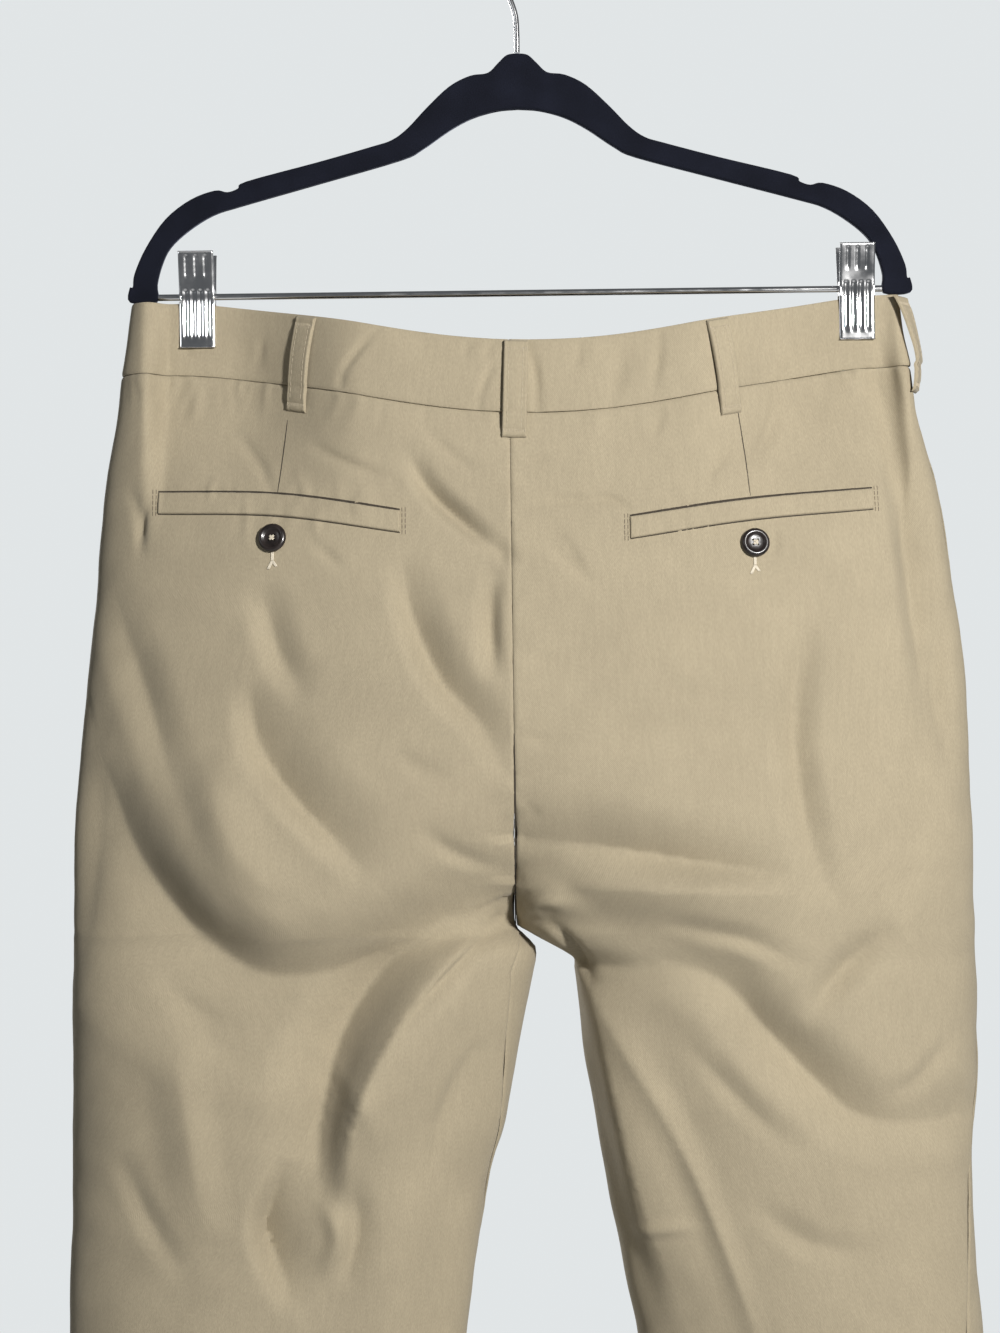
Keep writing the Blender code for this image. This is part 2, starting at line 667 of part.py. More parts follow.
def inside(outline, x, z):
    """Whether a place is inside a closed outline."""
    odd = False
    for (x1, z1), (x2, z2) in zip(outline, outline[1:] + outline[:1]):
        if (z1 > z) != (z2 > z) and x < (x2 - x1) * (z - z1) / (z2 - z1) + x1:
            odd = not odd
    return odd


def patch_on(name, panels, outline, collection):
    """A layer that lies on panels: their own faces inside the outline, moved out."""
    outline = [(x * MM, z * MM) for x, z in outline]
    low = Vector((min(x for x, _ in outline), 0, min(z for _, z in outline)))
    high = Vector((max(x for x, _ in outline), 0, max(z for _, z in outline)))
    sheet = outer_sheet(panels)
    for corner, outward in ((low, (-1, 0, 0)), (low, (0, 0, -1)), (high, (1, 0, 0)), (high, (0, 0, 1))):
        every = sheet.verts[:] + sheet.edges[:] + sheet.faces[:]
        bmesh.ops.bisect_plane(sheet, geom=every, plane_co=corner, plane_no=outward, clear_outer=True)
    for (x1, z1), (x2, z2) in zip(outline, outline[1:] + outline[:1]):
        every = sheet.verts[:] + sheet.edges[:] + sheet.faces[:]
        across = (z2 - z1, 0, x1 - x2)
        bmesh.ops.bisect_plane(sheet, geom=every, plane_co=(x1, 0, z1), plane_no=across, dist=1e-7)
    outside = [f for f in sheet.faces if not inside(outline, *f.calc_center_median().xz)]
    bmesh.ops.delete(sheet, geom=outside, context="FACES")
    bmesh.ops.remove_doubles(sheet, verts=sheet.verts, dist=0.15 * MM)
    bmesh.ops.dissolve_degenerate(sheet, edges=sheet.edges, dist=0.1 * MM)
    bmesh.ops.triangulate(sheet, faces=sheet.faces)
    sheet.normal_update()
    bmesh.ops.recalc_face_normals(sheet, faces=sheet.faces)
    facing_seat = panels[0]["facing"] > 0
    lean = sum(f.normal.y * f.calc_area() for f in sheet.faces)
    if (lean > 0) == facing_seat:
        bmesh.ops.reverse_faces(sheet, faces=sheet.faces)
    sheet.normal_update()
    moved = [(v, v.co.copy(), v.normal.copy()) for v in sheet.verts]
    under = {v: sheet.verts.new(place + normal * SEAM_GAP) for v, place, normal in moved}
    rim = [edge.link_loops[0] for edge in sheet.edges if edge.is_boundary]
    edges = [(loop.vert, loop.link_loop_next.vert) for loop in rim]
    tops = list(sheet.faces)
    for face in tops:
        sheet.faces.new([under[v] for v in reversed(face.verts[:])])
    for a, b in edges:
        sheet.faces.new((b, a, under[a]))
        sheet.faces.new((b, under[a], under[b]))
    for v, place, normal in moved:
        v.co = place + normal * (SEAM_GAP + TRIM_CLOTH)
    mesh = bpy.data.meshes.new(name)
    sheet.to_mesh(mesh)
    sheet.free()
    return add_object(name, mesh, "khaki", collection)


def surface_under(panels, x, z, facing):
    """(place, normal) where a line along Y meets the panels' outer face."""
    sheet = outer_sheet(panels)
    tree = BVHTree.FromBMesh(sheet)
    sheet.free()
    start = Vector((x, -facing, z))
    place, normal, _, _ = tree.ray_cast(start, Vector((0, facing, 0)))
    if normal.y * facing > 0:
        normal = -normal
    return place, normal, tree


def make_button(name, panels, place, across, facing, collection):
    """A round button with a raised rim, turned, that lies just clear of the cloth."""
    x, z = place[0] * MM, place[1] * MM
    foot, normal, tree = surface_under(panels, x, z, facing)
    turn = normal.to_track_quat("Z", "Y").to_matrix().to_4x4()
    radius = across / 2
    rise_over = 0.0
    for i in range(16):
        angle = 2 * math.pi * i / 16
        spot = foot + turn @ Vector((radius * math.cos(angle), radius * math.sin(angle), 0))
        hit = tree.ray_cast(spot + normal * PROBE, -normal)[0]
        if hit is not None:
            rise_over = max(rise_over, (hit - foot).dot(normal))
    base = rise_over + SEAM_GAP
    points = [(out * radius, 0, up * BUTTON_THICK) for out, up in BUTTON_PROFILE]
    mesh = bpy.data.meshes.new(name)
    mesh.from_pydata(points, [(i, i + 1) for i in range(len(points) - 1)], [])
    button = add_object(name, mesh, "horn", collection)
    button.matrix_world = Matrix.Translation(foot + normal * base) @ turn
    screw = button.modifiers.new("turn", "SCREW")
    screw.steps = screw.render_steps = 20
    screw.use_merge_vertices = True
    screw.merge_threshold = 1e-5
    return button


# ---------------------------------------------------------------- the hanger


def make_bow(collection):
    """The flat velvet bow, from its mirrored outline."""
    right = [(x * MM, z * MM) for x, z in BOW]
    outline = right + [(-x, z) for x, z in reversed(right[1:-1])]
    curve = bpy.data.curves.new("hanger_body", "CURVE")
    curve.dimensions = "2D"
    curve.fill_mode = "BOTH"
    curve.extrude = HANGER_THICK / 2 - HANGER_EDGE
    curve.bevel_depth = HANGER_EDGE
    curve.bevel_resolution = 0
    curve.offset = -HANGER_EDGE
    spline = curve.splines.new("POLY")
    spline.points.add(len(outline) - 1)
    for point, (x, z) in zip(spline.points, outline):
        point.co = (x, z, 0, 1)
    spline.use_cyclic_u = True
    bow = add_object("hanger_body", curve, "velvet", collection)
    bow.rotation_euler = (math.pi / 2, 0, 0)
    return bow


def make_wire(name, points, radius, finish, collection, resolution=2):
    curve = bpy.data.curves.new(name, "CURVE")
    curve.dimensions = "3D"
    curve.bevel_depth = radius
    curve.bevel_resolution = resolution
    curve.use_fill_caps = True
    spline = curve.splines.new("POLY")
    spline.points.add(len(points) - 1)
    for point, place in zip(spline.points, points):
        point.co = (*place, 1)
    return add_object(name, curve, finish, collection)


def make_hook(collection):
    """The stem and the open loop, whose inside crown is the origin."""
    centre = HOOK_WIRE - HOOK_RADIUS
    stem = [(x * MM, 0, z * MM) for x, z in STEM]
    loop = []
    for degrees in range(HOOK_START, HOOK_END - 1, -HOOK_STEP):
        angle = math.radians(degrees)
        loop.append((HOOK_RADIUS * math.cos(angle), 0, centre + HOOK_RADIUS * math.sin(angle)))
    return make_wire("hanger_hook", stem + loop, HOOK_WIRE, "chrome", collection)


def make_rod(collection):
    bpy.ops.mesh.primitive_cylinder_add(vertices=12, radius=ROD_RADIUS, depth=2 * ROD_HALF - 2 * SEAM_GAP)
    rod = bpy.context.object
    rod.name = "hanger_rod"
    rod.location = (0, 0, ROD_LEVEL)
    rod.rotation_euler = (0, math.pi / 2, 0)
    rod.data.materials.append(material("chrome"))
    move_to(rod, collection)
    return rod


def move_to(obj, collection):
    for old in list(obj.users_collection):
        old.objects.unlink(obj)
    collection.objects.link(obj)


def make_jaw(name, x, facing, collection, cutters):
    """A clip's sheet jaw with two ears on the rod. facing is 1 on the seat side."""
    face = [(out * MM, up * MM) for out, up in JAW]
    back = []
    for i, (out, up) in enumerate(face):
        before = face[max(i - 1, 0)]
        after = face[min(i + 1, len(face) - 1)]
        along = Vector((after[0] - before[0], after[1] - before[1])).normalized()
        back.append((out + along.y * JAW_SHEET, up - along.x * JAW_SHEET))
    shell = bmesh.new()
    rings = []
    for end in (-1, 1):
        rings.append([shell.verts.new((end * JAW_WIDE / 2, -out, up)) for out, up in face + back[::-1]])
    shell.faces.new(rings[0])
    shell.faces.new(rings[1][::-1])
    for i in range(len(rings[0])):
        j = (i + 1) % len(rings[0])
        shell.faces.new((rings[0][i], rings[1][i], rings[1][j], rings[0][j]))
    bmesh.ops.triangulate(shell, faces=shell.faces)
    bmesh.ops.recalc_face_normals(shell, faces=shell.faces)
    mesh = bpy.data.meshes.new(name)
    shell.to_mesh(mesh)
    shell.free()
    jaw = add_object(name, mesh, "chrome", collection)
    jaw.location = (x, 0, ROD_LEVEL)
    if facing < 0:
        jaw.rotation_euler = (0, 0, math.pi)
    ear_x = JAW_WIDE / 2 - EAR_INSET[facing]
    for end in (-1, 1):
        ear = ear_plate(f"{name}_ear", end * ear_x, cutters)
        ear.location = jaw.location
        ear.rotation_euler = jaw.rotation_euler
        join = jaw.modifiers.new("ear", "BOOLEAN")
        join.operation = "UNION"
        join.object = ear
    bore = jaw.modifiers.new("rod", "BOOLEAN")
    bore.operation = "DIFFERENCE"
    bore.object = bpy.data.objects["rod_bore"]
    return jaw


def ear_plate(name, ear_x, cutters):
    """A round-ended ear from a jaw's sheet past the rod."""
    shell = bmesh.new()
    outline = [(-EAR_FOOT, -EAR_RADIUS), (-EAR_FOOT, EAR_RADIUS)]
    for degrees in range(90, -91, -30):
        angle = math.radians(degrees)
        outline.append((EAR_RADIUS * math.cos(angle) * EAR_NOSE, EAR_RADIUS * math.sin(angle)))
    rings = []
    for end in (-1, 1):
        rings.append([shell.verts.new((ear_x + end * EAR_SHEET / 2, y, z)) for y, z in outline])
    shell.faces.new(rings[0])
    shell.faces.new(rings[1][::-1])
    for i in range(len(outline)):
        j = (i + 1) % len(outline)
        shell.faces.new((rings[0][i], rings[1][i], rings[1][j], rings[0][j]))
    bmesh.ops.recalc_face_normals(shell, faces=shell.faces)
    mesh = bpy.data.meshes.new(name)
    shell.to_mesh(mesh)
    shell.free()
    ear = bpy.data.objects.new(name, mesh)
    cutters.objects.link(ear)
    ear.hide_render = True
    ear.display_type = "WIRE"
    return ear


def make_rod_bore(cutters):
    bpy.ops.mesh.primitive_cylinder_add(vertices=12, radius=ROD_RADIUS + SEAM_GAP, depth=2 * ROD_HALF)
    bore = bpy.context.object
    bore.name = "rod_bore"
    bore.location = (0, 0, ROD_LEVEL)
    bore.rotation_euler = (0, math.pi / 2, 0)
    bore.hide_render = True
    bore.display_type = "WIRE"
    move_to(bore, cutters)


def make_clips(collection, cutters):
    make_rod_bore(cutters)
    for side, word in ((-1, "left"), (1, "right")):
        x = CLIPS[side]
        for facing, part in ((1, "seat"), (-1, "front")):
            make_jaw(f"clip_{word}_jaw_{part}", x, facing, collection, cutters)


# ---------------------------------------------------------------- the whole


def clear_scene():
    for obj in list(bpy.data.objects):
        bpy.data.objects.remove(obj)


def new_collection(name):
    made = bpy.data.collections.new(name)
    bpy.context.scene.collection.children.link(made)
    return made


def main():
    clear_scene()
    chinos = new_collection("chinos_on_clip_hanger")
    cutters = new_collection("cutters")
    panels = {}
    bands = []
    for side, word in ((-1, "left"), (1, "right")):
        for facing, part in ((1, "back"), (-1, "front")):
            panel = make_panel(f"{part}_{word}", side, facing, chinos)
            panel["facing"] = facing
            panels[side, facing] = panel
        bands.append(make_waistband(f"waistband_{word}", side, chinos))
        top, bottom = WELTS[side]
        patch_on(f"pocket_welt_{word}", [panels[side, 1]], top + bottom[::-1], chinos)
        patch_on(f"front_pocket_edge_{word}", [panels[side, -1]], POCKET_EDGES[side], chinos)
        make_button(f"pocket_button_{word}", [panels[side, 1]], BUTTONS[side], BUTTON_ACROSS, 1, chinos)
    fronts = [panels[-1, -1], panels[1, -1]]
    patch_on("fly_placket", fronts, FLY_OUTLINE, chinos)
    tab = make_waist_tab(chinos)
    make_button("waist_button", [tab], WAIST_BUTTON, WAIST_BUTTON_ACROSS, -1, chinos)
    make_loops([*panels.values(), *bands], chinos)
    make_bow(chinos)
    make_hook(chinos)
    make_rod(chinos)
    make_clips(chinos, cutters)


main()
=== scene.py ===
"""The looks of the chinos on a clip hanger: finer cloth on the solids' form, sewing, trim, light and camera.

Metres, +Z up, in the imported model's frame: the origin is the inside crown of the hanger's hook, and the seat
faces -Y. Tables are in millimetres and are scaled by MM where they are read. Left and right are the wearer's.
"""

import math

import bmesh
import bpy
import numpy as np
from mathutils import Matrix, Vector
from mathutils.bvhtree import BVHTree


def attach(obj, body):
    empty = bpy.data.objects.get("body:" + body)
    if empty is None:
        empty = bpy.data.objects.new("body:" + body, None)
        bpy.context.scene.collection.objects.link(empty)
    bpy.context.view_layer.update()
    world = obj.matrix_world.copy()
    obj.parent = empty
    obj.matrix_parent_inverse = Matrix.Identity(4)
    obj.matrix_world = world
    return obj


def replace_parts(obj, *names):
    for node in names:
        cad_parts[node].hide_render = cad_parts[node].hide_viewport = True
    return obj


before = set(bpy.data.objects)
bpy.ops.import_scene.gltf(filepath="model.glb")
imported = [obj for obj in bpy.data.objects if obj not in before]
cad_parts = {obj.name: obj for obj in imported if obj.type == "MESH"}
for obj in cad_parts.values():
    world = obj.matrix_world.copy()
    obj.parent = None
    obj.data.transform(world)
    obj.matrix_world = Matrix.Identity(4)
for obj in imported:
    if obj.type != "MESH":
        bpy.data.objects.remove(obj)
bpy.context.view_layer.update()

MM = 0.001
SEAM_GAP = 0.3 * MM
PROBE = 12 * MM  # how far above the form a search for the cloth's face starts
CLOTH = 1.4 * MM
HEM_CLOTH = 2.8 * MM
HEM_TALL = 32 * MM
BAND_CLOTH = 2.0 * MM
BAND_PROUD = 0.8 * MM
TRIM_CLOTH = 1.2 * MM

SEAM_X = -7 * MM  # the centre seams hang a little to the left of the hook
TOP_LEVEL = -225 * MM  # waistband top, at the sides
WAIST_LEVEL = -266 * MM  # waistband seam, at the sides
CROTCH = -581 * MM
HEM_LEVEL = -1371 * MM

# Half widths of the outline, from the centre seam to each side.
OUTLINE = (
    # height, left, right
    (-226, 213.5, 222.0),
    (-250, 217.0, 225.0),
    (-267, 220.5, 228.5),
    (-295, 224.0, 232.5),
    (-331, 230.5, 242.0),
    (-365, 234.5, 247.5),
    (-400, 237.5, 252.5),
    (-433, 241.5, 256.5),
    (-467, 245.5, 258.5),
    (-501, 248.5, 259.5),
    (-535, 250.5, 260.0),
    (-569, 251.5, 261.0),
    (-620, 252.5, 261.5),
    (-688, 253.5, 260.5),
    (-722, 254.5, 257.5),
    (-755, 255.5, 258.5),
    (-814, 256.5, 262.5),
    (-930, 255.0, 261.0),
    (-1150, 250.0, 256.0),
    (-1371, 245.0, 252.0),
)
# Inner edge of each leg, from the centre seam, below the crotch. The left one bellies past the seam's line.
INSIDE_LEG = (
    # height, left, right
    (-581, 0.0, 0.0),
    (-584, -2.5, 5.5),
    (-588, -6.5, 12.5),
    (-593, -11.0, 23.0),
    (-598, -11.5, 31.0),
    (-606, -10.0, 32.5),
    (-618, -7.5, 34.0),
    (-646, -1.5, 37.0),
    (-694, 8.0, 44.5),
    (-717, 16.0, 48.5),
    (-750, 22.0, 54.0),
    (-774, 26.0, 58.5),
    (-809, 30.5, 65.5),
    (-930, 44.5, 71.0),
    (-1150, 56.5, 73.0),
    (-1371, 58.5, 72.0),
)
# The same edges as the thighs would have them without the pull at the crotch.
THIGH_GAP = (
    # height, left, right
    (-581, 0.0, 0.0),
    (-612, 0.0, 8.0),
    (-646, 2.0, 26.0),
    (-694, 10.0, 43.0),
    (-750, 23.5, 55.0),
    (-809, 32.0, 66.5),
    (-930, 46.0, 72.0),
    (-1150, 58.0, 74.0),
    (-1371, 60.0, 73.0),
)
PULL_FROM = 0.2  # the pull at the crotch moves only this part of a ring and what lies inside it
# How far the seat and the front stand out from the side seams.
DEPTHS = (
    # height, seat, front
    (-226, 42, 35),
    (-267, 48, 37),
    (-340, 58, 40),
    (-420, 66, 42),
    (-500, 71, 45),
    (-560, 69, 49),
    (-610, 64, 52),
    (-700, 56, 53),
    (-814, 51, 51),
    (-930, 50, 50),
    (-1371, 41, 41),
)
# Where the side seam and the inseam lie, in degrees past the outer and inner edges, towards the seat.
SEAM_TURNS = (
    # height, left side, right side, left inside, right inside
    (-226, -4, 4, 0, 0),
    (-400, -7, 2, 0, 0),
    (-575, -10, 0, 0, 0),
    (-581, -10, 0, 0, 0),
    (-586, -10, 0, 12, -5),
    (-592, -10, 0, 22, -10),
    (-599, -10, 0, 26, -13),
    (-615, -10, 0, 25, -15),
    (-644, -11, 2, 21, -17),
    (-680, -12, 8, 15, -18),
    (-720, -12, 14, 5, -18),
    (-814, -12, 30, -8, -14),
    (-1371, -4, 12, -4, -4),
)
RISE_TOP = -470 * MM  # the seat curve starts here and ends at the crotch
RISE_POWER = 1.3

# The waistband sags between the clips.
SAG_CENTRE = 8 * MM
SAG_REACH = 205 * MM
SEAT_SAG = 28 * MM
FRONT_SAG = 44 * MM
SAG_END = -430 * MM

# Each clip pinches the seat and the front together.
CLIPS = {-1: -183.7 * MM, 1: 191.4 * MM}
PINCH_HALF = 16 * MM
PINCH_IN = 80 * MM
PINCH_OUT = 14 * MM
PINCH_FROM = -250 * MM
PINCH_TO = -370 * MM
PINCH_GAP = 2.0 * MM

# The drape's folds. Each runs through three or more places (across, height). Depth is inwards where negative.
# Seen from the seat, a fold that runs down has its first width on the left, and one that runs right, below.
# sharp is 0 for a round fold and 1 for a crease. start and end say how much of the depth each end keeps.
SEAT_FOLDS = (
    # name, side, run, depth, first width, second width, sharp, start, end
    ("pocket to seam", -1, ((-64, -316), (-52, -336), (-36, -352), (-12, -372)), -10.0, 9, 11, 0.6, 0.1, 0.4),
    ("seam hollow", -1, ((-17, -384), (-19, -410), (-17, -440)), -7.5, 12, 8, 0.3, 0.2, 0),
    ("pocket to low seam", -1, ((-68, -372), (-63, -405), (-48, -440), (-26, -466), (-13, -490)),
     -13.5, 13, 24, 0.5, 0, 0.2),
    ("under button", -1, ((-146, -386), (-137, -424), (-119, -452)), -7.0, 14, 20, 0.3, 0, 0),
    ("mid seat", -1, ((-153, -440), (-150, -473), (-131, -502), (-108, -526), (-86, -550)),
     -15.4, 13, 40, 0.6, 0, 0),
    ("flank", -1, ((-232, -386), (-219, -429), (-205, -470), (-192, -508)), -6.0, 20, 24, 0.4, 0, 0),
    ("swag", -1, ((-242, -470), (-229, -524), (-208, -560), (-183, -586), (-147, -604), (-108, -602),
                  (-70, -588), (-38, -574)), -28.6, 76, 42, 0.4, 0.1, 0.2),
    ("seat bulge", -1, ((-176, -480), (-160, -530), (-132, -562)), 7.2, 24, 26, 0.0, 0, 0),
    ("thigh ridge", -1, ((-14, -583), (-40, -592), (-63, -614), (-86, -645), (-98, -674), (-103, -702),
                         (-101, -730)), 19.0, 10, 62, 0.1, 0.2, 0),
    ("thigh hollow", -1, ((-24, -569), (-48, -580), (-75, -605), (-99, -638), (-111, -670), (-116, -702),
                          (-112, -734)), -19.0, 40, 12, 0.2, 0, 0),
    ("ridge underside", -1, ((-14, -576), (-44, -600), (-68, -624), (-76, -640)), -6.8, 6, 11, 0.6, 0.3, 0),
    ("knee dent", -1, ((-134, -704), (-148, -742), (-132, -786)), -18.0, 12, 44, 0.5, 0, 0),
    ("knee knot", -1, ((-116, -724), (-108, -746), (-116, -768)), 4.5, 9, 11, 0.2, 0, 0),
    ("knee right side", -1, ((-100, -712), (-97, -742), (-104, -776)), -6.4, 10, 14, 0.5, 0, 0),
    ("low ridge", -1, ((-64, -700), (-76, -760), (-88, -830)), 6.5, 34, 30, 0.0, 0, 0),
    ("outer thigh ridge", -1, ((-196, -632), (-186, -690), (-178, -750)), 6.0, 26, 18, 0.2, 0, 0),
    ("hollow above ridge", 1, ((-3, -530), (40, -536), (84, -542), (142, -549)), -10.8, 11, 34, 0.5, 0.4, 0),
    ("under seat ridge", 1, ((2, -552), (40, -551), (84, -554), (150, -558)), 10.5, 34, 12, 0.2, 0.5, 0),
    ("crotch knob", 1, ((1, -570), (12, -560), (28, -566)), 7.8, 12, 12, 0.1, 0.5, 0.2),
    ("crotch tuck", 1, ((8, -572), (22, -586), (40, -612)), -6.4, 4, 8, 0.6, 0, 0),
    ("thigh pull", 1, ((58, -592), (102, -608), (128, -636), (158, -666), (186, -686), (232, -690)),
     -17.6, 26, 32, 0.5, 0, 0.4),
    ("hip shade", 1, ((200, -578), (172, -604), (150, -630)), -9.8, 18, 15, 0.4, 0, 0),
    ("hip line", 1, ((158, -400), (149, -470), (156, -535), (172, -570)), -9.6, 20, 15, 0.4, 0, 0),
    ("side trough", 1, ((203, -276), (210, -317), (217, -365), (221, -409), (228, -482)),
     -11.2, 16, 20, 0.3, 0.5, 0),
    ("inner roll", 1, ((14, -580), (30, -600), (42, -630), (52, -676), (64, -730), (82, -800)),
     10.4, 17, 34, 0.1, 0.3, 0),
    ("crotch line", 1, ((30, -596), (56, -645), (84, -700), (108, -760), (130, -830)), 5.5, 13, 12, 0.8, 0, 0),
    ("back of knee", 1, ((96, -800), (140, -850), (190, -880)), -6.0, 28, 34, 0.2, 0, 0),
    ("left calf", -1, ((-190, -900), (-150, -985), (-120, -1050)), -6.0, 30, 36, 0.2, 0, 0),
    ("right calf", 1, ((200, -960), (160, -1040), (136, -1110)), -6.0, 34, 30, 0.2, 0, 0),
)
FRONT_FOLDS = (
    ("fly to left thigh", -1, ((-30, -530), (-80, -570), (-140, -640)), -6.0, 22, 26, 0.3, 0, 0),
    ("fly to right thigh", 1, ((24, -528), (72, -566), (128, -640)), -6.0, 26, 22, 0.3, 0, 0),
    ("left whisker", -1, ((-36, -470), (-100, -490), (-170, -540)), -4.0, 16, 20, 0.4, 0, 0),
    ("right whisker", 1, ((30, -474), (96, -496), (164, -536)), -4.0, 18, 16, 0.4, 0, 0),
    ("left hip", -1, ((-170, -380), (-186, -450), (-196, -540)), -5.0, 22, 24, 0.2, 0, 0),
    ("right hip", 1, ((168, -376), (184, -452), (200, -530)), -5.0, 24, 22, 0.2, 0, 0),
    ("left thigh", -1, ((-120, -680), (-150, -760), (-160, -860)), 7.0, 34, 36, 0.1, 0, 0),
    ("right thigh", 1, ((130, -690), (160, -770), (166, -860)), 7.0, 36, 34, 0.1, 0, 0),
    ("left shin", -1, ((-120, -960), (-160, -1050), (-170, -1160)), -6.0, 30, 34, 0.2, 0, 0),
    ("right shin", 1, ((130, -940), (170, -1040), (180, -1140)), -6.0, 34, 30, 0.2, 0, 0),
)
FACING_FADE = 0.35  # folds die out this far round towards the side seams
OTHER_SIDE_FADE = 40 * MM
FOLD_BLEND = 4 * MM
NARROW = 9  # creases with a side up to this wide keep a crisp line
NARROW_BLEND = 1.2 * MM
TURN_STEP = 2e-3  # the steps that give the form's normals
LEVEL_STEP = 0.3 * MM

WELTS = {
    # side: corners of the top edge and of the bottom edge, outer end first
    -1: (((-204, -334), (-136, -337), (-68, -347.5)), ((-204, -346), (-136, -349), (-68, -359.5))),
    1: (((195, -337), (126, -343), (58, -352.5)), ((195, -348.5), (126, -354.5), (58, -364.5))),
}
BUTTONS = {-1: (-138.5, -361.5), 1: (126.5, -367.5)}
BUTTON_ACROSS = 16 * MM
BUTTON_THICK = 3.2 * MM
BUTTON_STEPS = 48
# The button from its well over the rim and back under: share of its radius, and of its thickness.
BUTTON_PROFILE = (
    (0, 0.62), (0.5, 0.62), (0.6, 0.72), (0.7, 1), (0.84, 1), (0.97, 0.72), (1, 0.45), (0.86, 0), (0, 0),
)
WAIST_BUTTON_ACROSS = 17 * MM
WAIST_BUTTON = (-7, -290)

LOOP_WIDE = 13.5 * MM
LOOP_THICK = 2.0 * MM
LOOP_TOP = -225.8
LOOP_STEP = 1.25
TACKS = (0.085, 0.93)  # where the bars of stitches lie, as shares of a loop's length
TACK_TALL = 0.03
TACK_STITCH = 1.0 * MM
SEWN_AT = 0.32  # a loop's lines of stitching, as shares of its width from the middle
SEWN_DEEP = 0.22 * MM
SEWN_WIDE = 0.9 * MM
LOOP_END = -281.0
LOOPS = (
    # name, side, distance from the centre seam at the top, and at the end, facing, stand-off
    ("belt_loop_centre_back", 1, 4.0, 2.0, 1, 1.5),
    ("belt_loop_back_left", -1, 112.0, 119.0, 1, 1.5),
    ("belt_loop_back_right", 1, 115.0, 122.5, 1, 1.5),
    ("belt_loop_front_left", -1, 112.0, 112.0, -1, 1.5),
    ("belt_loop_front_right", 1, 112.0, 112.0, -1, 1.5),
)
SIDE_LOOPS = (
    # name, side, turn in degrees, stand-off
    ("belt_loop_side_left", -1, -16.0, 2.0),
    ("belt_loop_side_right", 1, 4.0, 5.0),
)

FLY_EDGES = (
    ((-36, -318), (-36, -432), (-33, -446), (-27.5, -459), (-20, -470), (-11, -478.5), (-3, -484)),
    ((2.5, -318), (2.5, -380), (2.5, -420), (2.5, -445), (2.5, -462), (2.5, -475), (2.5, -486)),
)
FLY_STITCHES = ((-33, -320), (-33, -380), (-33, -431), (-27, -452), (-17, -468), (-4, -479))
LAP = 12 * MM  # the left front band laps this far over the right
POCKET_EDGES = {
    -1: ((-168, -274), (-161, -272), (-221, -428), (-228, -426)),
    1: ((158, -272), (165, -274), (226, -424), (219, -426)),
}

ROD_LEVEL = -221 * MM
ROD_RADIUS = 1.9 * MM
ROD_HALF = 206.9 * MM
HANGER_THICK = 5.5 * MM
# The bow's outline on its right half, from the neck round the shoulder to the foot and back under.
BOW = (
    (0, -84.5), (6, -85.5), (11, -90), (17, -95.5), (27, -97), (39, -103), (52, -115), (63, -126.5),
    (72, -133), (83, -136.5), (114, -145), (155, -155.5), (160, -159.5), (166, -161.5), (173, -160.5),
    (187, -165.5), (201.5, -176.5), (213, -193), (219.5, -207.5), (220.5, -214.8), (222.3, -215.5),
    (222.3, -223.5), (207, -223.5), (206.6, -213.5), (203.5, -202), (198.5, -192.5), (188, -183),
    (174, -174.5), (158, -169.5), (114, -157.5), (67, -144.5), (54.5, -138.5), (39, -128), (26, -121.2),
    (12, -117.3), (0, -116.3),
)
HOOK_WIRE = 1.55 * MM
HOOK_RADIUS = 21.5 * MM
HOOK_START = 222  # degrees round the hook's loop where the stem joins it
HOOK_END = -32
STEM = ((0, -84), (0, -72), (-0.8, -62), (-4.5, -50.5))

JAW_WIDE = 20 * MM
JAW_SHEET = 1.0 * MM
JAW_ROUND = 0.45 * MM
# The seat-side jaw's outer face, from its top to its lip: out from the rod's axis, and up from it.
JAW = ((9.5, 25.0), (9.3, 23.5), (6.4, 8.0), (5.5, 1.5), (4.6, -5.0), (4.6, -26.0), (5.5, -28.6))
EAR_RADIUS = 4.2 * MM
EAR_SHEET = 0.8 * MM
EAR_FOOT = 5.2 * MM  # the ear starts this far from the rod's axis, inside the jaw's sheet
EAR_NOSE = 0.9  # the ear's nose reaches this share of its radius past the rod's axis
EAR_INSET = {1: 0.6 * MM, -1: 1.8 * MM}  # the front jaw's ears lie between the seat jaw's


# ---------------------------------------------------------------- the finer cloth's sizes

JOIN_GAP = 0.24 * MM
SEAM_STEPS = (0.0, 0.3, 0.7, 1.2, 1.9, 2.8)  # rows and columns of points beside a seam
PANEL_ROWS = (
    # from, to, seat spacing, front spacing
    (-266, -330, 2.4, 4.0),
    (-330, -490, 2.8, 4.4),
    (-490, -760, 2.1, 4.0),
    (-760, -830, 3.5, 5.0),
    (-830, -1330, 11.0, 11.0),
    (-1330, -1371, 3.0, 3.0),
)
SEAT_SPACING = 2.15
FRONT_SPACING = 3.4
BAND_SPACING = 2.0
SHARP_ANGLE = math.radians(75)
ROLL_DEEP = 0.75 * MM
ROLL_WIDE = 2.4 * MM
EDGE_ROUND = 0.9 * MM
LAID_GAP = 0.06 * MM  # between a strip and the cloth it is sewn to

# The washed cloth's faint waves.
RUMPLES = (
    # shortest wave, longest wave, height
    (16, 30, 0.035),
    (34, 60, 0.085),
    (70, 120, 0.16),
)
RUMPLE_WAVES = 7
RUMPLE_FROM = 30 * MM  # the waves reach their full height this far below the waist seam

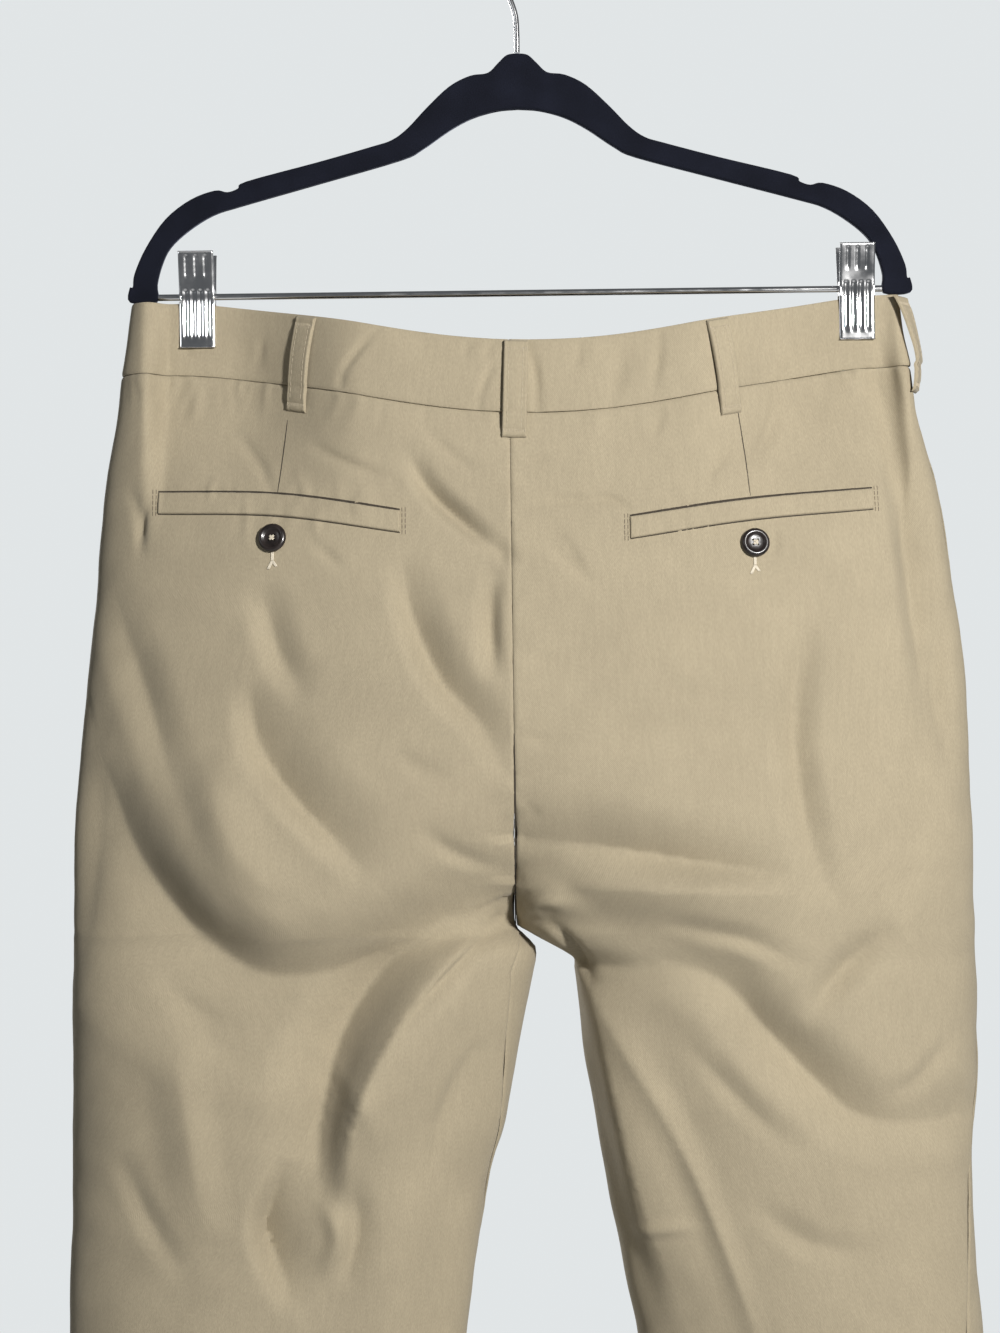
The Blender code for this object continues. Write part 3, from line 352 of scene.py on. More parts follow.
# Small creases, in the folds' columns. Dents are negative.
SEAT_CREASES = (
    ("below left dart side", -1, ((-163, -300), (-152, -313), (-145, -324), (-140, -336)), -2.8, 5, 7, 0.5, 0.2, 0.3),
    ("dart to pocket", -1, ((-120, -308), (-102, -318), (-85, -325), (-70, -331)), -2.7, 6, 5, 0.5, 0, 0.3),
    ("left hip light", -1, ((-183, -272), (-184.5, -281), (-187, -295)), 2.2, 6, 7, 0.2, 0.5, 0),
    ("yoke slant", -1, ((-56, -302), (-46, -311), (-36, -320), (-24, -328)), -2.0, 5, 7, 0.4, 0, 0),
    ("left button pull", -1, ((-117, -364), (-107.5, -372.5), (-98, -380)), -2.2, 4, 6, 0.5, 0.3, 0),
    ("left welt end", -1, ((-210.5, -340), (-214, -352), (-216, -364)), -2.5, 4, 5, 0.4, 0.2, 0),
    ("soft shade", -1, ((-77, -477), (-58, -489), (-40, -493)), -2.2, 9, 11, 0.2, 0, 0),
    ("left of welt", -1, ((-222, -330), (-216, -345), (-214, -372)), -2.0, 5, 7, 0.3, 0, 0),
    ("low left dent", -1, ((-200, -620), (-176, -640), (-150, -648)), -3.4, 12, 16, 0.2, 0, 0),
    ("swag echo", -1, ((-214, -600), (-190, -622), (-158, -634)), -3.1, 10, 13, 0.3, 0, 0),
    ("swag light", -1, ((-120, -640), (-96, -668), (-84, -700)), 3.0, 10, 12, 0.2, 0, 0),
    ("low seat slant", -1, ((-60, -520), (-40, -536), (-16, -545)), -3.0, 8, 10, 0.3, 0, 0.3),
    ("thigh echo", -1, ((-30, -640), (-48, -676), (-58, -720)), -3.0, 8, 12, 0.4, 0, 0),
    ("left of knee", -1, ((-230, -700), (-210, -742), (-190, -770)), -3.7, 12, 14, 0.2, 0, 0),
    ("knee slant", -1, ((-120, -800), (-96, -840), (-84, -880)), -3.4, 12, 14, 0.3, 0, 0),
    ("left shin drape", -1, ((-214, -1010), (-186, -1080), (-176, -1150)), -4.1, 16, 20, 0.2, 0, 0),
    ("left hem drape", -1, ((-110, -1180), (-130, -1250), (-134, -1330)), -4.4, 16, 22, 0.2, 0, 0.3),
    ("centre pucker high", 1, ((-4.5, -319.5), (8, -320), (17, -317)), -1.5, 4, 4, 0.4, 0.4, 0),
    ("yoke pull", 1, ((12, -358), (18, -371), (29, -382), (40, -392)), -2.2, 6, 8, 0.4, 0, 0),
    ("right welt corner", 1, ((36, -341), (50, -343.5), (57, -349.5)), -2.5, 4, 5, 0.5, 0, 0.4),
    ("yoke shade", 1, ((16, -358), (27.5, -374), (34, -384)), -1.5, 5, 6, 0.4, 0, 0),
    ("beside right welt", 1, ((-2, -347), (25, -343), (53.5, -347)), -1.7, 5, 6, 0.3, 0.2, 0),
    ("below band right", 1, ((77, -295), (74, -302), (71, -308.5)), -2.0, 4, 5, 0.4, 0.5, 0),
    ("right dart side", 1, ((145, -280.5), (143, -291), (136, -307), (129.5, -320.5), (126, -333)),
     -3.3, 7, 9, 0.5, 0.3, 0.2),
    ("left of right dart", 1, ((116, -308), (112, -319), (105, -326), (102, -338)), -2.5, 6, 5, 0.5, 0, 0.3),
    ("right button pull", 1, ((136.5, -356), (138, -366), (136, -377)), -2.2, 4, 5, 0.5, 0.2, 0),
    ("centre pucker mid", 1, ((-3, -428), (8, -430), (18.5, -430.5)), -1.4, 4, 4, 0.3, 0.5, 0),
    ("centre pucker low", 1, ((-4, -471), (11, -475), (26, -473)), -2.0, 4, 5, 0.4, 0.5, 0),
    ("centre knot", 1, ((-0.5, -510), (3.5, -514.5), (-2, -519)), -1.5, 4, 4, 0.4, 0, 0),
    ("right inner light", 1, ((55.5, -750), (74, -745.5), (92, -743)), 3.0, 7, 8, 0.2, 0, 0),
    ("right hip wave", 1, ((238, -400), (232, -450), (236, -500)), -3.0, 8, 10, 0.2, 0, 0),
    ("seat wave", 1, ((60, -440), (96, -452), (130, -450)), -1.7, 12, 14, 0.1, 0, 0),
    ("under ridge", 1, ((70, -574), (116, -584), (152, -600)), -3.8, 9, 12, 0.3, 0, 0),
    ("thigh echo", 1, ((84, -640), (112, -672), (146, -704)), -3.7, 10, 14, 0.3, 0, 0),
    ("outer thigh", 1, ((236, -640), (214, -664), (196, -672)), -3.8, 10, 12, 0.3, 0.2, 0),
    ("low thigh", 1, ((120, -730), (150, -752), (188, -760)), -3.7, 12, 15, 0.2, 0, 0),
    ("right shin drape", 1, ((118, -960), (140, -1030), (150, -1110)), -4.1, 16, 20, 0.2, 0, 0),
    ("right hem drape", 1, ((206, -1170), (188, -1250), (186, -1330)), -4.4, 18, 20, 0.2, 0, 0.3),
)
FRONT_CREASES = (
    ("left pocket pull", -1, ((-214, -404), (-190, -424), (-160, -430)), -1.6, 8, 10, 0.3, 0.2, 0),
    ("right pocket pull", 1, ((212, -400), (186, -422), (158, -426)), -1.6, 8, 10, 0.3, 0.2, 0),
    ("left lap", -1, ((-44, -440), (-76, -452), (-120, -480)), -1.6, 9, 10, 0.3, 0, 0),
    ("right lap", 1, ((30, -446), (64, -458), (108, -484)), -1.6, 9, 10, 0.3, 0, 0),
    ("left of fly", -1, ((-40, -500), (-56, -530), (-66, -566)), -2.0, 9, 12, 0.4, 0, 0),
    ("right of fly", 1, ((26, -500), (44, -530), (54, -566)), -2.0, 9, 12, 0.4, 0, 0),
    ("left knee", -1, ((-100, -790), (-130, -830), (-140, -880)), -2.6, 14, 16, 0.3, 0, 0),
    ("right knee", 1, ((104, -800), (132, -838), (146, -890)), -2.6, 14, 16, 0.3, 0, 0),
    ("left ankle", -1, ((-196, -1190), (-176, -1260), (-172, -1330)), -2.6, 16, 20, 0.2, 0, 0.3),
    ("right ankle", 1, ((116, -1180), (136, -1256), (142, -1330)), -2.6, 16, 20, 0.2, 0, 0.3),
)
BAND_CREASES = (
    ("l1", -1, ((-80, -246.5), (-88.5, -255), (-97.5, -267), (-100.5, -276)), -2.7, 4, 5, 0.5, 0.3, 0.6),
    ("l0", -1, ((-144.5, -244), (-147, -254), (-149, -264)), -1.2, 5, 5, 0.3, 0, 0),
    ("c1", -1, ((-15, -264), (-21, -276.5), (-25, -290)), -2.1, 4, 5, 0.5, 0, 0.6),
    ("c0", -1, ((-16, -254), (-19.5, -263)), -1.5, 4, 4, 0.4, 0.4, 0),
    ("ca", -1, ((-28, -254), (-33, -263)), -1.2, 5, 5, 0.4, 0.4, 0),
    ("l3", -1, ((-186, -232), (-190, -244), (-189, -258)), -1.5, 6, 6, 0.2, 0, 0),
    ("c2", 1, ((3.5, -255), (7, -271), (8, -292)), -2.8, 4, 5, 0.6, 0.4, 0.7),
    ("c3", 1, ((33, -255), (31, -263.5), (27, -272)), -1.5, 6, 6, 0.3, 0.3, 0),
    ("c4", 1, ((56, -257), (52.5, -276), (48, -291)), -1.7, 9, 10, 0.2, 0, 0.4),
    ("r1", 1, ((76, -252), (75, -266), (71.5, -284)), -2.7, 5, 6, 0.5, 0.4, 0.3),
    ("r2", 1, ((116, -247), (121, -262), (123.5, -278)), -2.0, 5, 5, 0.4, 0, 0.4),
    ("r3", 1, ((150, -262), (147, -277)), -1.5, 6, 6, 0.3, 0, 0.3),
    ("r4", 1, ((204, -246), (205, -261), (207, -272)), -1.8, 5, 5, 0.4, 0, 0.5),
)
# Little ridges drawn up beside the stitching.
SEAT_PUCKERS = (
    # side, run of the seam, spacing, height, reach, seed
    (-1, ((-222, -268), (-180, -271), (-140, -277)), 6.5, 1.68, 13, 3),
    (-1, ((-140, -277), (-80, -289), (-12, -295)), 9.0, 0.64, 9, 4),
    (1, ((0, -295), (60, -296), (134, -282)), 9.0, 0.64, 9, 5),
    (1, ((134, -282), (165, -274), (190, -269)), 6.5, 1.68, 13, 6),
    (1, ((190, -269), (210, -267), (226, -266)), 7.0, 0.8, 9, 7),
    (-1, ((-176, -333), (-164, -334), (-154, -335)), 6.0, 1.28, 8, 8),
    (-1, ((-132, -336), (-112, -338), (-90, -343)), 7.0, 1.2, 9, 9),
    (-1, ((-164, -350), (-136, -351), (-108, -355)), 8.0, 1.12, 9, 10),
    (1, ((80, -350), (90, -348), (102, -346)), 5.0, 1.28, 8, 11),
    (1, ((84, -362), (96, -360), (108, -358)), 6.0, 1.28, 9, 12),
    (1, ((150, -342), (170, -340), (192, -339)), 8.0, 0.64, 7, 13),
    (-1, ((-7, -300), (-7, -440), (-7, -578)), 11.0, 0.56, 7, 14),
    (1, ((-7, -300), (-7, -440), (-7, -578)), 10.0, 0.72, 9, 15),
)
FRONT_PUCKERS = (
    (-1, ((-222, -268), (-120, -290), (-40, -308)), 9.0, 0.45, 9, 21),
    (1, ((30, -308), (110, -292), (226, -267)), 9.0, 0.45, 9, 22),
    (-1, ((-7, -470), (-7, -520), (-7, -580)), 9.0, 0.5, 10, 23),
    (1, ((-7, -470), (-7, -520), (-7, -580)), 9.0, 0.5, 10, 24),
)
LEG_PUCKER = (13.0, 0.22, 6)  # spacing, height and reach beside the legs' long seams
LEG_SEAM = ((0, 0), (0, -600), (0, -1105))
HEM_DIP = 0.5 * MM
HEM_DIP_WIDE = 1.8 * MM
BAND_ROUND = 0.5 * MM
BAND_ROUND_WIDE = 2.2 * MM
BAND_SWELL = 0.35 * MM

WELT_THICK = 1.5 * MM
SLIT_WIDE = 1.5  # the painted shade of the pocket mouth reaches this far above a welt
DARTS = (
    ((-131.5, -294), (-133, -308), (-134.5, -322), (-136, -335.5)),
    ((119.5, -291), (121.5, -306), (123.5, -322), (125.2, -341)),
)
CLEFT = ((-7, -470), (-7, -520), (-7.2, -565), (-7, -580))
THREAD = 0.2 * MM
RIBBON_STEP = 1.1 * MM
STITCH = 2.6 * MM
STITCH_STEP = 3.3 * MM
HOLE_OUT = 1.75 * MM
HOLE_RADIUS = 0.75 * MM
BUTTONHOLE_TAIL = (
    # from, to, below the button's centre
    (0, -6.6, 0, -12.4),
    (0, -12.4, -2.4, -17.0),
    (0, -12.4, 2.2, -15.6),
)
THREAD_RINGS = ((0.0, 0.6), (0.16, 1.0), (0.84, 1.0), (1.0, 0.6))  # share along a stitch, share of its radius
RIBBON_THICK = 0.02 * MM
LAND_STEPS = (0, 0.4, -0.4, 0.9, -0.9)
LAND_DROP = 0.5 * MM  # a place above the sagging waist seam moves down by this much at a time
FAR_SIDE = 12 * MM  # a hit this far past the middle is on the other side of the garment
HEM_REACH = {-1: (70, 238), 1: (76, 232)}
COIL_TURNS = 9
COIL_WIRE = 0.55 * MM
COIL_RADIUS = 2.75 * MM
COIL_HALF = 6.6 * MM
DIMPLES = {"across": (-5.4, 0, 5.4), "up": (21.5, 18.4, 15.3, 12.2), "wide": 1.5, "deep": -0.6}
FLUTES = {"across": (-6.3, -2.1, 2.1, 6.3), "from": 4.5, "to": -24.5, "wide": 1.5, "deep": -0.6}


# ---------------------------------------------------------------- the form, as in the source


def smooth_step(value):
    value = np.clip(value, 0, 1)
    return value * value * (3 - 2 * value)


def read_table(table, column, level):
    """A table's column at these heights, on a smooth curve through its rows."""
    rows = np.array(table, float)[::-1] * MM
    heights = rows[:, 0]
    values = rows[:, column]
    level = np.clip(level, heights[0], heights[-1])
    slopes = np.gradient(values, heights)
    spot = np.clip(np.searchsorted(heights, level) - 1, 0, len(heights) - 2)
    span = heights[spot + 1] - heights[spot]
    t = (level - heights[spot]) / span
    start = (2 * t**3 - 3 * t**2 + 1) * values[spot] + (t**3 - 2 * t**2 + t) * span * slopes[spot]
    end = (3 * t**2 - 2 * t**3) * values[spot + 1] + (t**3 - t**2) * span * slopes[spot + 1]
    return start + end


def side_column(side):
    """A two-sided table's column for this side."""
    return 1 if side < 0 else 2


def rise(level):
    """0 above the seat curve and 1 at the crotch."""
    share = np.clip((RISE_TOP - level) / (RISE_TOP - CROTCH), 0, 1)
    return np.sin(math.pi / 2 * share**RISE_POWER)


def half_ring(side, level):
    """(centre, half width) of one side's ring, from the centre seam outwards."""
    outer = read_table(OUTLINE, side_column(side), level)
    curve = rise(level)
    inner = np.where(
        level > CROTCH,
        -outer * (1 - curve) / (1 + curve),
        read_table(THIGH_GAP, side_column(side), level),
    )
    return (outer + inner) / 2, (outer - inner) / 2


def crotch_pull(side, turn, level):
    """How far the pull at the crotch moves the inner part of a leg's ring outwards."""
    column = side_column(side)
    pull = read_table(INSIDE_LEG, column, level) - read_table(THIGH_GAP, column, level)
    return np.where(level > CROTCH, 0, pull) * smooth_step((-np.cos(turn) - PULL_FROM) / (1 - PULL_FROM))


def pinch(side, across, level):
    """How far the clip presses the cloth to the hanger's plane, 0 to 1."""
    past = across - abs(CLIPS[side] - SEAM_X)
    inward = np.clip((-past - PINCH_HALF) / PINCH_IN, 0, 1)
    outward = np.clip((past - PINCH_HALF) / PINCH_OUT, 0, 1)
    near = (1 - smooth_step(inward)) * (1 - smooth_step(outward))
    return near * (1 - smooth_step((PINCH_FROM - level) / (PINCH_FROM - PINCH_TO)))


def sag(x, turn, level):
    """The drop of the waist between the clips."""
    deep = np.where(np.sin(turn) > 0, SEAT_SAG, FRONT_SAG)
    shape = np.clip(1 - ((x - SAG_CENTRE) / SAG_REACH) ** 2, 0, 1) ** 2
    fade = 1 - smooth_step((WAIST_LEVEL - level) / (WAIST_LEVEL - SAG_END))
    return -deep * shape * fade


def plain_form(side, turn, level):
    """The body form without folds: turn is 0 at the outer side, a quarter at the seat, half at the inside."""
    centre, half = half_ring(side, level)
    across = centre + half * np.cos(turn) + crotch_pull(side, turn, level)
    x = SEAM_X + side * across
    deep = np.where(np.sin(turn) > 0, read_table(DEPTHS, 1, level), read_table(DEPTHS, 2, level))
    out = deep * np.abs(np.sin(turn))
    pressed = pinch(side, across, level)
    out = out * (1 - pressed) + np.minimum(out, PINCH_GAP) * pressed
    y = -np.sign(np.sin(turn)) * out
    return np.stack([x, y, level + sag(x, turn, level)], axis=-1)


def run_points(run, steps=8):
    """Points along a smooth curve through the run's places, in metres."""
    places = np.array(run, float) * MM
    ends = np.vstack([2 * places[0] - places[1], places, 2 * places[-1] - places[-2]])
    found = []
    for before, first, second, after in zip(ends, ends[1:], ends[2:], ends[3:]):
        for t in np.arange(steps) / steps:
            square = (2 * before - 5 * first + 4 * second - after) * t**2
            cube = (3 * first - before - 3 * second + after) * t**3
            found.append(0.5 * (2 * first + (second - before) * t + square + cube))
    found.append(places[-1])
    return np.array(found)


def run_lengths(points):
    """How far along a run each of its points lies."""
    return np.concatenate([[0], np.cumsum(np.linalg.norm(np.diff(points, axis=0), axis=1))])


def at_lengths(wanted, lengths, values):
    """The values that belong to a run's points, at these distances along it."""
    return np.stack([np.interp(wanted, lengths, column) for column in values.T], axis=-1)


def near_run(points, reach, x, z):
    """Which places can lie within reach of a run's points."""
    low = points.min(axis=0) - reach
    high = points.max(axis=0) + reach
    return (x > low[0]) & (x < high[0]) & (z > low[1]) & (z < high[1])


def fold_height(fold, x, z):
    """One fold's height over the places (x, z)."""
    points = run_points(fold[2])
    near = near_run(points, max(fold[4:6]) * MM, x, z)
    height = np.zeros(np.shape(x))
    if near.any():
        height[near] = fold_profile(fold, points, x[near], z[near])
    return height


def fold_profile(fold, points, x, z):
    """One fold's height at places near it."""
    _, _, _, depth, first_width, second_width, sharp, start, end = fold
    legs = np.diff(points, axis=0)
    lengths = np.linalg.norm(legs, axis=1)
    before = np.concatenate([[0], np.cumsum(lengths)])
    dx = x[..., None] - points[:-1, 0]
    dz = z[..., None] - points[:-1, 1]
    t = np.clip((dx * legs[:, 0] + dz * legs[:, 1]) / lengths**2, 0, 1)
    away = np.hypot(dx - t * legs[:, 0], dz - t * legs[:, 1])
    second = legs[:, 0] * dz - legs[:, 1] * dx > 0
    along = (before[:-1] + t * lengths) / before[-1]
    q = np.clip(away / (np.where(second, second_width, first_width) * MM), 0, 1)
    profile = (1 - q) ** 2 * (1 + 2 * (1 - sharp) * q)
    keeps = start * (1 - along) + end * along
    swell = np.maximum(keeps, np.sin(math.pi * along))
    # The nearest stretches share each place, so that the inside of a bend stays smooth.
    blend = FOLD_BLEND if min(first_width, second_width) > NARROW else NARROW_BLEND
    share = np.exp((away.min(axis=-1, keepdims=True) - away) / blend)
    return depth * MM * (profile * swell * share).sum(axis=-1) / share.sum(axis=-1)


def fold_lift(side, turn, place):
    """All folds' height at places of one side's form."""
    x = place[..., 0]
    z = place[..., 2]
    facing = np.sin(turn)
    lift = np.zeros(np.shape(x))
    for folds, faces in ((SEAT_FOLDS, facing), (FRONT_FOLDS, -facing)):
        weight = smooth_step(faces / FACING_FADE)
        for fold in folds:
            shared = 1 if fold[1] == side else smooth_step((z - CROTCH) / OTHER_SIDE_FADE)
            lift = lift + fold_height(fold, x, z) * weight * shared
    return lift


def form_normal(side, turn, level):
    """Unit normals, facing out, by small steps round and down the form."""
    round_it = plain_form(side, turn + TURN_STEP, level) - plain_form(side, turn - TURN_STEP, level)
    down = plain_form(side, turn, level - LEVEL_STEP) - plain_form(side, turn, level + LEVEL_STEP)
    normal = np.cross(round_it, down) * side
    return normal / np.linalg.norm(normal, axis=-1, keepdims=True)


def seam_turns(side, level):
    """The turn of the side seam, and of the inner seam on the seat and front, at each height."""
    degrees = math.pi / 180 / MM
    columns = (1, 3) if side < 0 else (2, 4)
    at_side = read_table(SEAM_TURNS, columns[0], level) * degrees
    wrap = read_table(SEAM_TURNS, columns[1], level) * degrees
    centre, half = half_ring(side, level)
    cut = np.arccos(np.clip(-centre / half, -1, 1))
    above = level > CROTCH
    seat_inner = np.where(above, cut, math.pi - wrap)
    front_inner = np.where(above, -cut, -math.pi - wrap)
    return at_side, seat_inner, front_inner


# ---------------------------------------------------------------- finer cloth


def seam_shares(width, spacing):
    """Places across a strip, 0 to 1: close together at its two ends and evenly spaced between them."""
    ends = np.array(SEAM_STEPS) * MM / width
    count = math.ceil((1 - 2 * ends[-1]) * width / (spacing * MM))
    middle = np.linspace(ends[-1], 1 - ends[-1], count + 1)
    return np.concatenate([ends[:-1], middle, 1 - ends[-2::-1]])


def even_turns(side, levels, first, last, spacing):
    """(turns, distance across) between two seams, evenly spaced on the body form."""
    share = np.linspace(0, 1, 161)
    turns = first[:, None] + (last - first)[:, None] * share
    place = plain_form(side, turns, np.broadcast_to(levels[:, None], turns.shape))
    along = np.cumsum(np.linalg.norm(np.diff(place, axis=1), axis=-1), axis=1)
    along = np.concatenate([np.zeros((len(levels), 1)), along], axis=1)
    wanted = seam_shares(along[:, -1].mean(), spacing)
    across = JOIN_GAP / 2 + (along[:, -1:] - JOIN_GAP) * wanted
    return np.array([np.interp(a, b, t) for a, b, t in zip(across, along, turns)]), across


def row_levels(spacing_column):
    """Heights of a panel's rows, close together under the waist seam."""
    levels = [PANEL_ROWS[0][0] - step for step in SEAM_STEPS]
    for row in PANEL_ROWS:
        count = math.ceil((levels[-1] - row[1]) / row[spacing_column])
        levels += list(np.linspace(levels[-1], row[1], count + 1)[1:])
    return np.array(levels) * MM


def puckers(row, x, z):
    """Ridges that a seam draws up in the cloth beside it, uneven in spacing, height and reach."""
    side, run, spacing, height, reach, seed = row
    points = run_points(run)
    near = near_run(points, 2.4 * reach * MM, x, z)
    lift = np.zeros(np.shape(x))
    if not near.any():
        return lift
    along, away = nearest_on(points, x[near], z[near])
    rng = np.random.default_rng(seed)
    end = along.max()
    place = spacing * MM * 0.3
    grown = np.zeros(len(along))
    while place < end:
        wide = spacing * MM * rng.uniform(0.4, 0.75)
        tall = height * MM * rng.uniform(0.25, 1.0)
        far = reach * MM * rng.uniform(0.45, 1.3)
        lean = rng.uniform(-0.45, 0.45)
        q = np.clip(np.abs(along - place - lean * away) / wide, 0, 1)
        grown += tall * (1 - q) ** 2 * (1 + 2 * q) * np.exp(-((away / far) ** 2))
        place += spacing * MM * rng.uniform(0.55, 1.7)
    lift[near] = grown
    return lift


def nearest_on(points, x, z):
    """(distance along a run, distance from it) of each place."""
    legs = np.diff(points, axis=0)
    lengths = np.linalg.norm(legs, axis=1)
    before = np.concatenate([[0], np.cumsum(lengths)[:-1]])
    dx = x[:, None] - points[:-1, 0]
    dz = z[:, None] - points[:-1, 1]
    t = np.clip((dx * legs[:, 0] + dz * legs[:, 1]) / lengths**2, 0, 1)
    away = np.hypot(dx - t * legs[:, 0], dz - t * legs[:, 1])
    best = away.argmin(axis=1)
    each = np.arange(len(x))
    return before[best] + t[each, best] * lengths[best], away[each, best]


def rumple(across, down, seed):
    """The faint unevenness of washed cloth, as a sum of slow waves."""
    rng = np.random.default_rng(seed)
    lift = np.zeros(np.shape(across))
    for shortest, longest, height in RUMPLES:
        for _ in range(RUMPLE_WAVES):
            angle = rng.uniform(0, math.pi)
            turns = 2 * math.pi / (rng.uniform(shortest, longest) * MM)
            phase = rng.uniform(0, 2 * math.pi)
            lift += height * MM * np.sin(turns * (across * math.cos(angle) + down * math.sin(angle)) + phase)
    return lift


def seam_roll(away):
    """How the cloth rolls under beside a seam."""
    return -ROLL_DEEP * np.clip(1 - away / ROLL_WIDE, 0, 1) ** 2


def small_lift(side, turn, place, creases, pucker_rows, faces):
    """The height of the small creases and puckers that lie on one side and facing."""
    x = place[..., 0]
    z = place[..., 2]
    lift = np.zeros(np.shape(x))
    for crease in creases:
        if crease[1] == side:
            lift += fold_height(crease, x, z)
    for row in pucker_rows:
        if row[0] == side:
            lift += puckers(row, x, z)
    return lift * smooth_step(faces * np.sin(turn) / FACING_FADE)


def grid_normals(points, towards):
    """Unit normals of a grid of points, on the side that another set of normals faces."""
    normal = np.cross(np.gradient(points, axis=1), np.gradient(points, axis=0))
    normal /= np.maximum(np.linalg.norm(normal, axis=-1, keepdims=True), 1e-12)
    return normal * np.sign((normal * towards).sum())


def grid_faces(rows, columns):
    index = np.arange(rows * columns).reshape(rows, columns)
    return np.stack([index[:-1, :-1], index[:-1, 1:], index[1:, 1:], index[1:, :-1]], axis=-1).reshape(-1, 4)


def add_piece(name, data, finish):
    """A piece of the scene with its material, riding on the one body."""
    made = bpy.data.objects.new(name, data)
    bpy.context.scene.collection.objects.link(made)
    data.materials.append(FINISHES[finish])
    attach(made, "root")
    return made


def shell(name, outer, inner, finish="twill", sharp=SHARP_ANGLE):
    """A thin closed shell of cloth between two grids, with its places in metres as UVs."""
    rows, columns = outer.shape[:2]
    count = rows * columns
    index = np.arange(count).reshape(rows, columns)
    front = grid_faces(rows, columns)
    edge = np.concatenate([index[0], index[1:, -1], index[-1, -2::-1], index[-2:0:-1, 0]])
    after = np.roll(edge, -1)
    rim = np.stack([edge, edge + count, after + count, after], axis=-1)
    faces = np.concatenate([front, front[:, ::-1] + count, rim])
    mesh = bpy.data.meshes.new(name)
    mesh.from_pydata(np.concatenate([outer, inner]).reshape(-1, 3).tolist(), [], faces.tolist())
    across = np.linalg.norm(np.diff(outer, axis=1), axis=-1)
    across = np.concatenate([np.zeros((rows, 1)), np.cumsum(across, axis=1)], axis=1)
    down = np.linalg.norm(np.diff(outer, axis=0), axis=-1).mean(axis=1)
    down = np.broadcast_to(np.concatenate([[0], np.cumsum(down)])[:, None], (rows, columns))
    places = np.stack([across, -down], axis=-1).reshape(-1, 2)
    corners = np.zeros(len(mesh.loops), np.int32)
    mesh.loops.foreach_get("vertex_index", corners)
    weave = np.concatenate([places, places])[corners].astype(np.float32)
    mesh.uv_layers.new(name="weave").data.foreach_set("uv", weave.ravel())
    turned = bmesh.new()
    turned.from_mesh(mesh)
    if turned.calc_volume(signed=True) < 0:
        bmesh.ops.reverse_faces(turned, faces=turned.faces)
        turned.to_mesh(mesh)
    turned.free()
    mesh.shade_smooth()
    mesh.set_sharp_from_angle(angle=sharp)
    return add_piece(name, mesh, finish)


def hold_side(points, side):
    """Holds the points half a gap clear of the centre seam's plane."""
    across = (points[..., 0] - SEAM_X) * side
    points[..., 0] = SEAM_X + side * np.maximum(across, JOIN_GAP / 2)
    return points


def sewn(name, outer, inner):
    """Cloth in place of its solid, which is hidden. Returns its outer grid."""
    piece = shell(name + "_cloth", outer, inner)
    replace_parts(piece, name)
    return outer


def cloth_grid(side, levels, first, last, spacing):
    """(turns, distances across, heights, places, normals) of a grid on the body form between two seams."""
    turns, across = even_turns(side, levels, first, last, spacing)
    level = np.broadcast_to(levels[:, None], turns.shape)
    return turns, across, level, plain_form(side, turns, level), form_normal(side, turns, level)


def make_panel(name, side, facing):
    """One leg's seat or front, from the waist seam to the hem."""
    seat = facing > 0
    levels = row_levels(2 if seat else 3)
    at_side, seat_inner, front_inner = seam_turns(side, levels)
    spacing = SEAT_SPACING if seat else FRONT_SPACING
    inside = seat_inner if seat else front_inner
    turns, across, level, plain, normal = cloth_grid(side, levels, inside, at_side, spacing)
    far = across[:, -1:] + JOIN_GAP / 2 - across
    down = np.broadcast_to((levels[0] - levels)[:, None], turns.shape)
    creases, rows = (SEAT_CREASES, SEAT_PUCKERS) if seat else (FRONT_CREASES, FRONT_PUCKERS)
    free = 1 - pinch(side, (plain[..., 0] - SEAM_X) * side, level)
    fine = small_lift(side, turns, plain, creases, rows, facing)
    seed = 40 + 10 * facing + side
    fine += rumple(across, down, seed) * smooth_step(down / RUMPLE_FROM)
    for away in (across, far):
        fine += leg_puckers(away, down, seed)
        seed += 3
    lift = fold_lift(side, turns, plain) + fine * (0.8 + 0.2 * free)
    lift += seam_roll(across) + seam_roll(far) + seam_roll(down)
    lift -= HEM_DIP * np.exp(-(((level - HEM_LEVEL - HEM_TALL) / HEM_DIP_WIDE) ** 2))
    outer = plain + normal * lift[..., None]
    thick = np.where(levels < HEM_LEVEL + HEM_TALL, HEM_CLOTH, CLOTH)[:, None, None]
    inner = outer - grid_normals(outer, normal) * thick
    above = levels >= CROTCH - 1e-9
    outer[above] = hold_side(outer[above], side)
    inner[above] = hold_side(inner[above], side)
    return sewn(name, outer, inner)


def leg_puckers(away, down, seed):
    """Small ridges beside a leg's long seam."""
    spacing, height, reach = LEG_PUCKER
    return puckers((0, LEG_SEAM, spacing, height, reach, seed), away, -down)


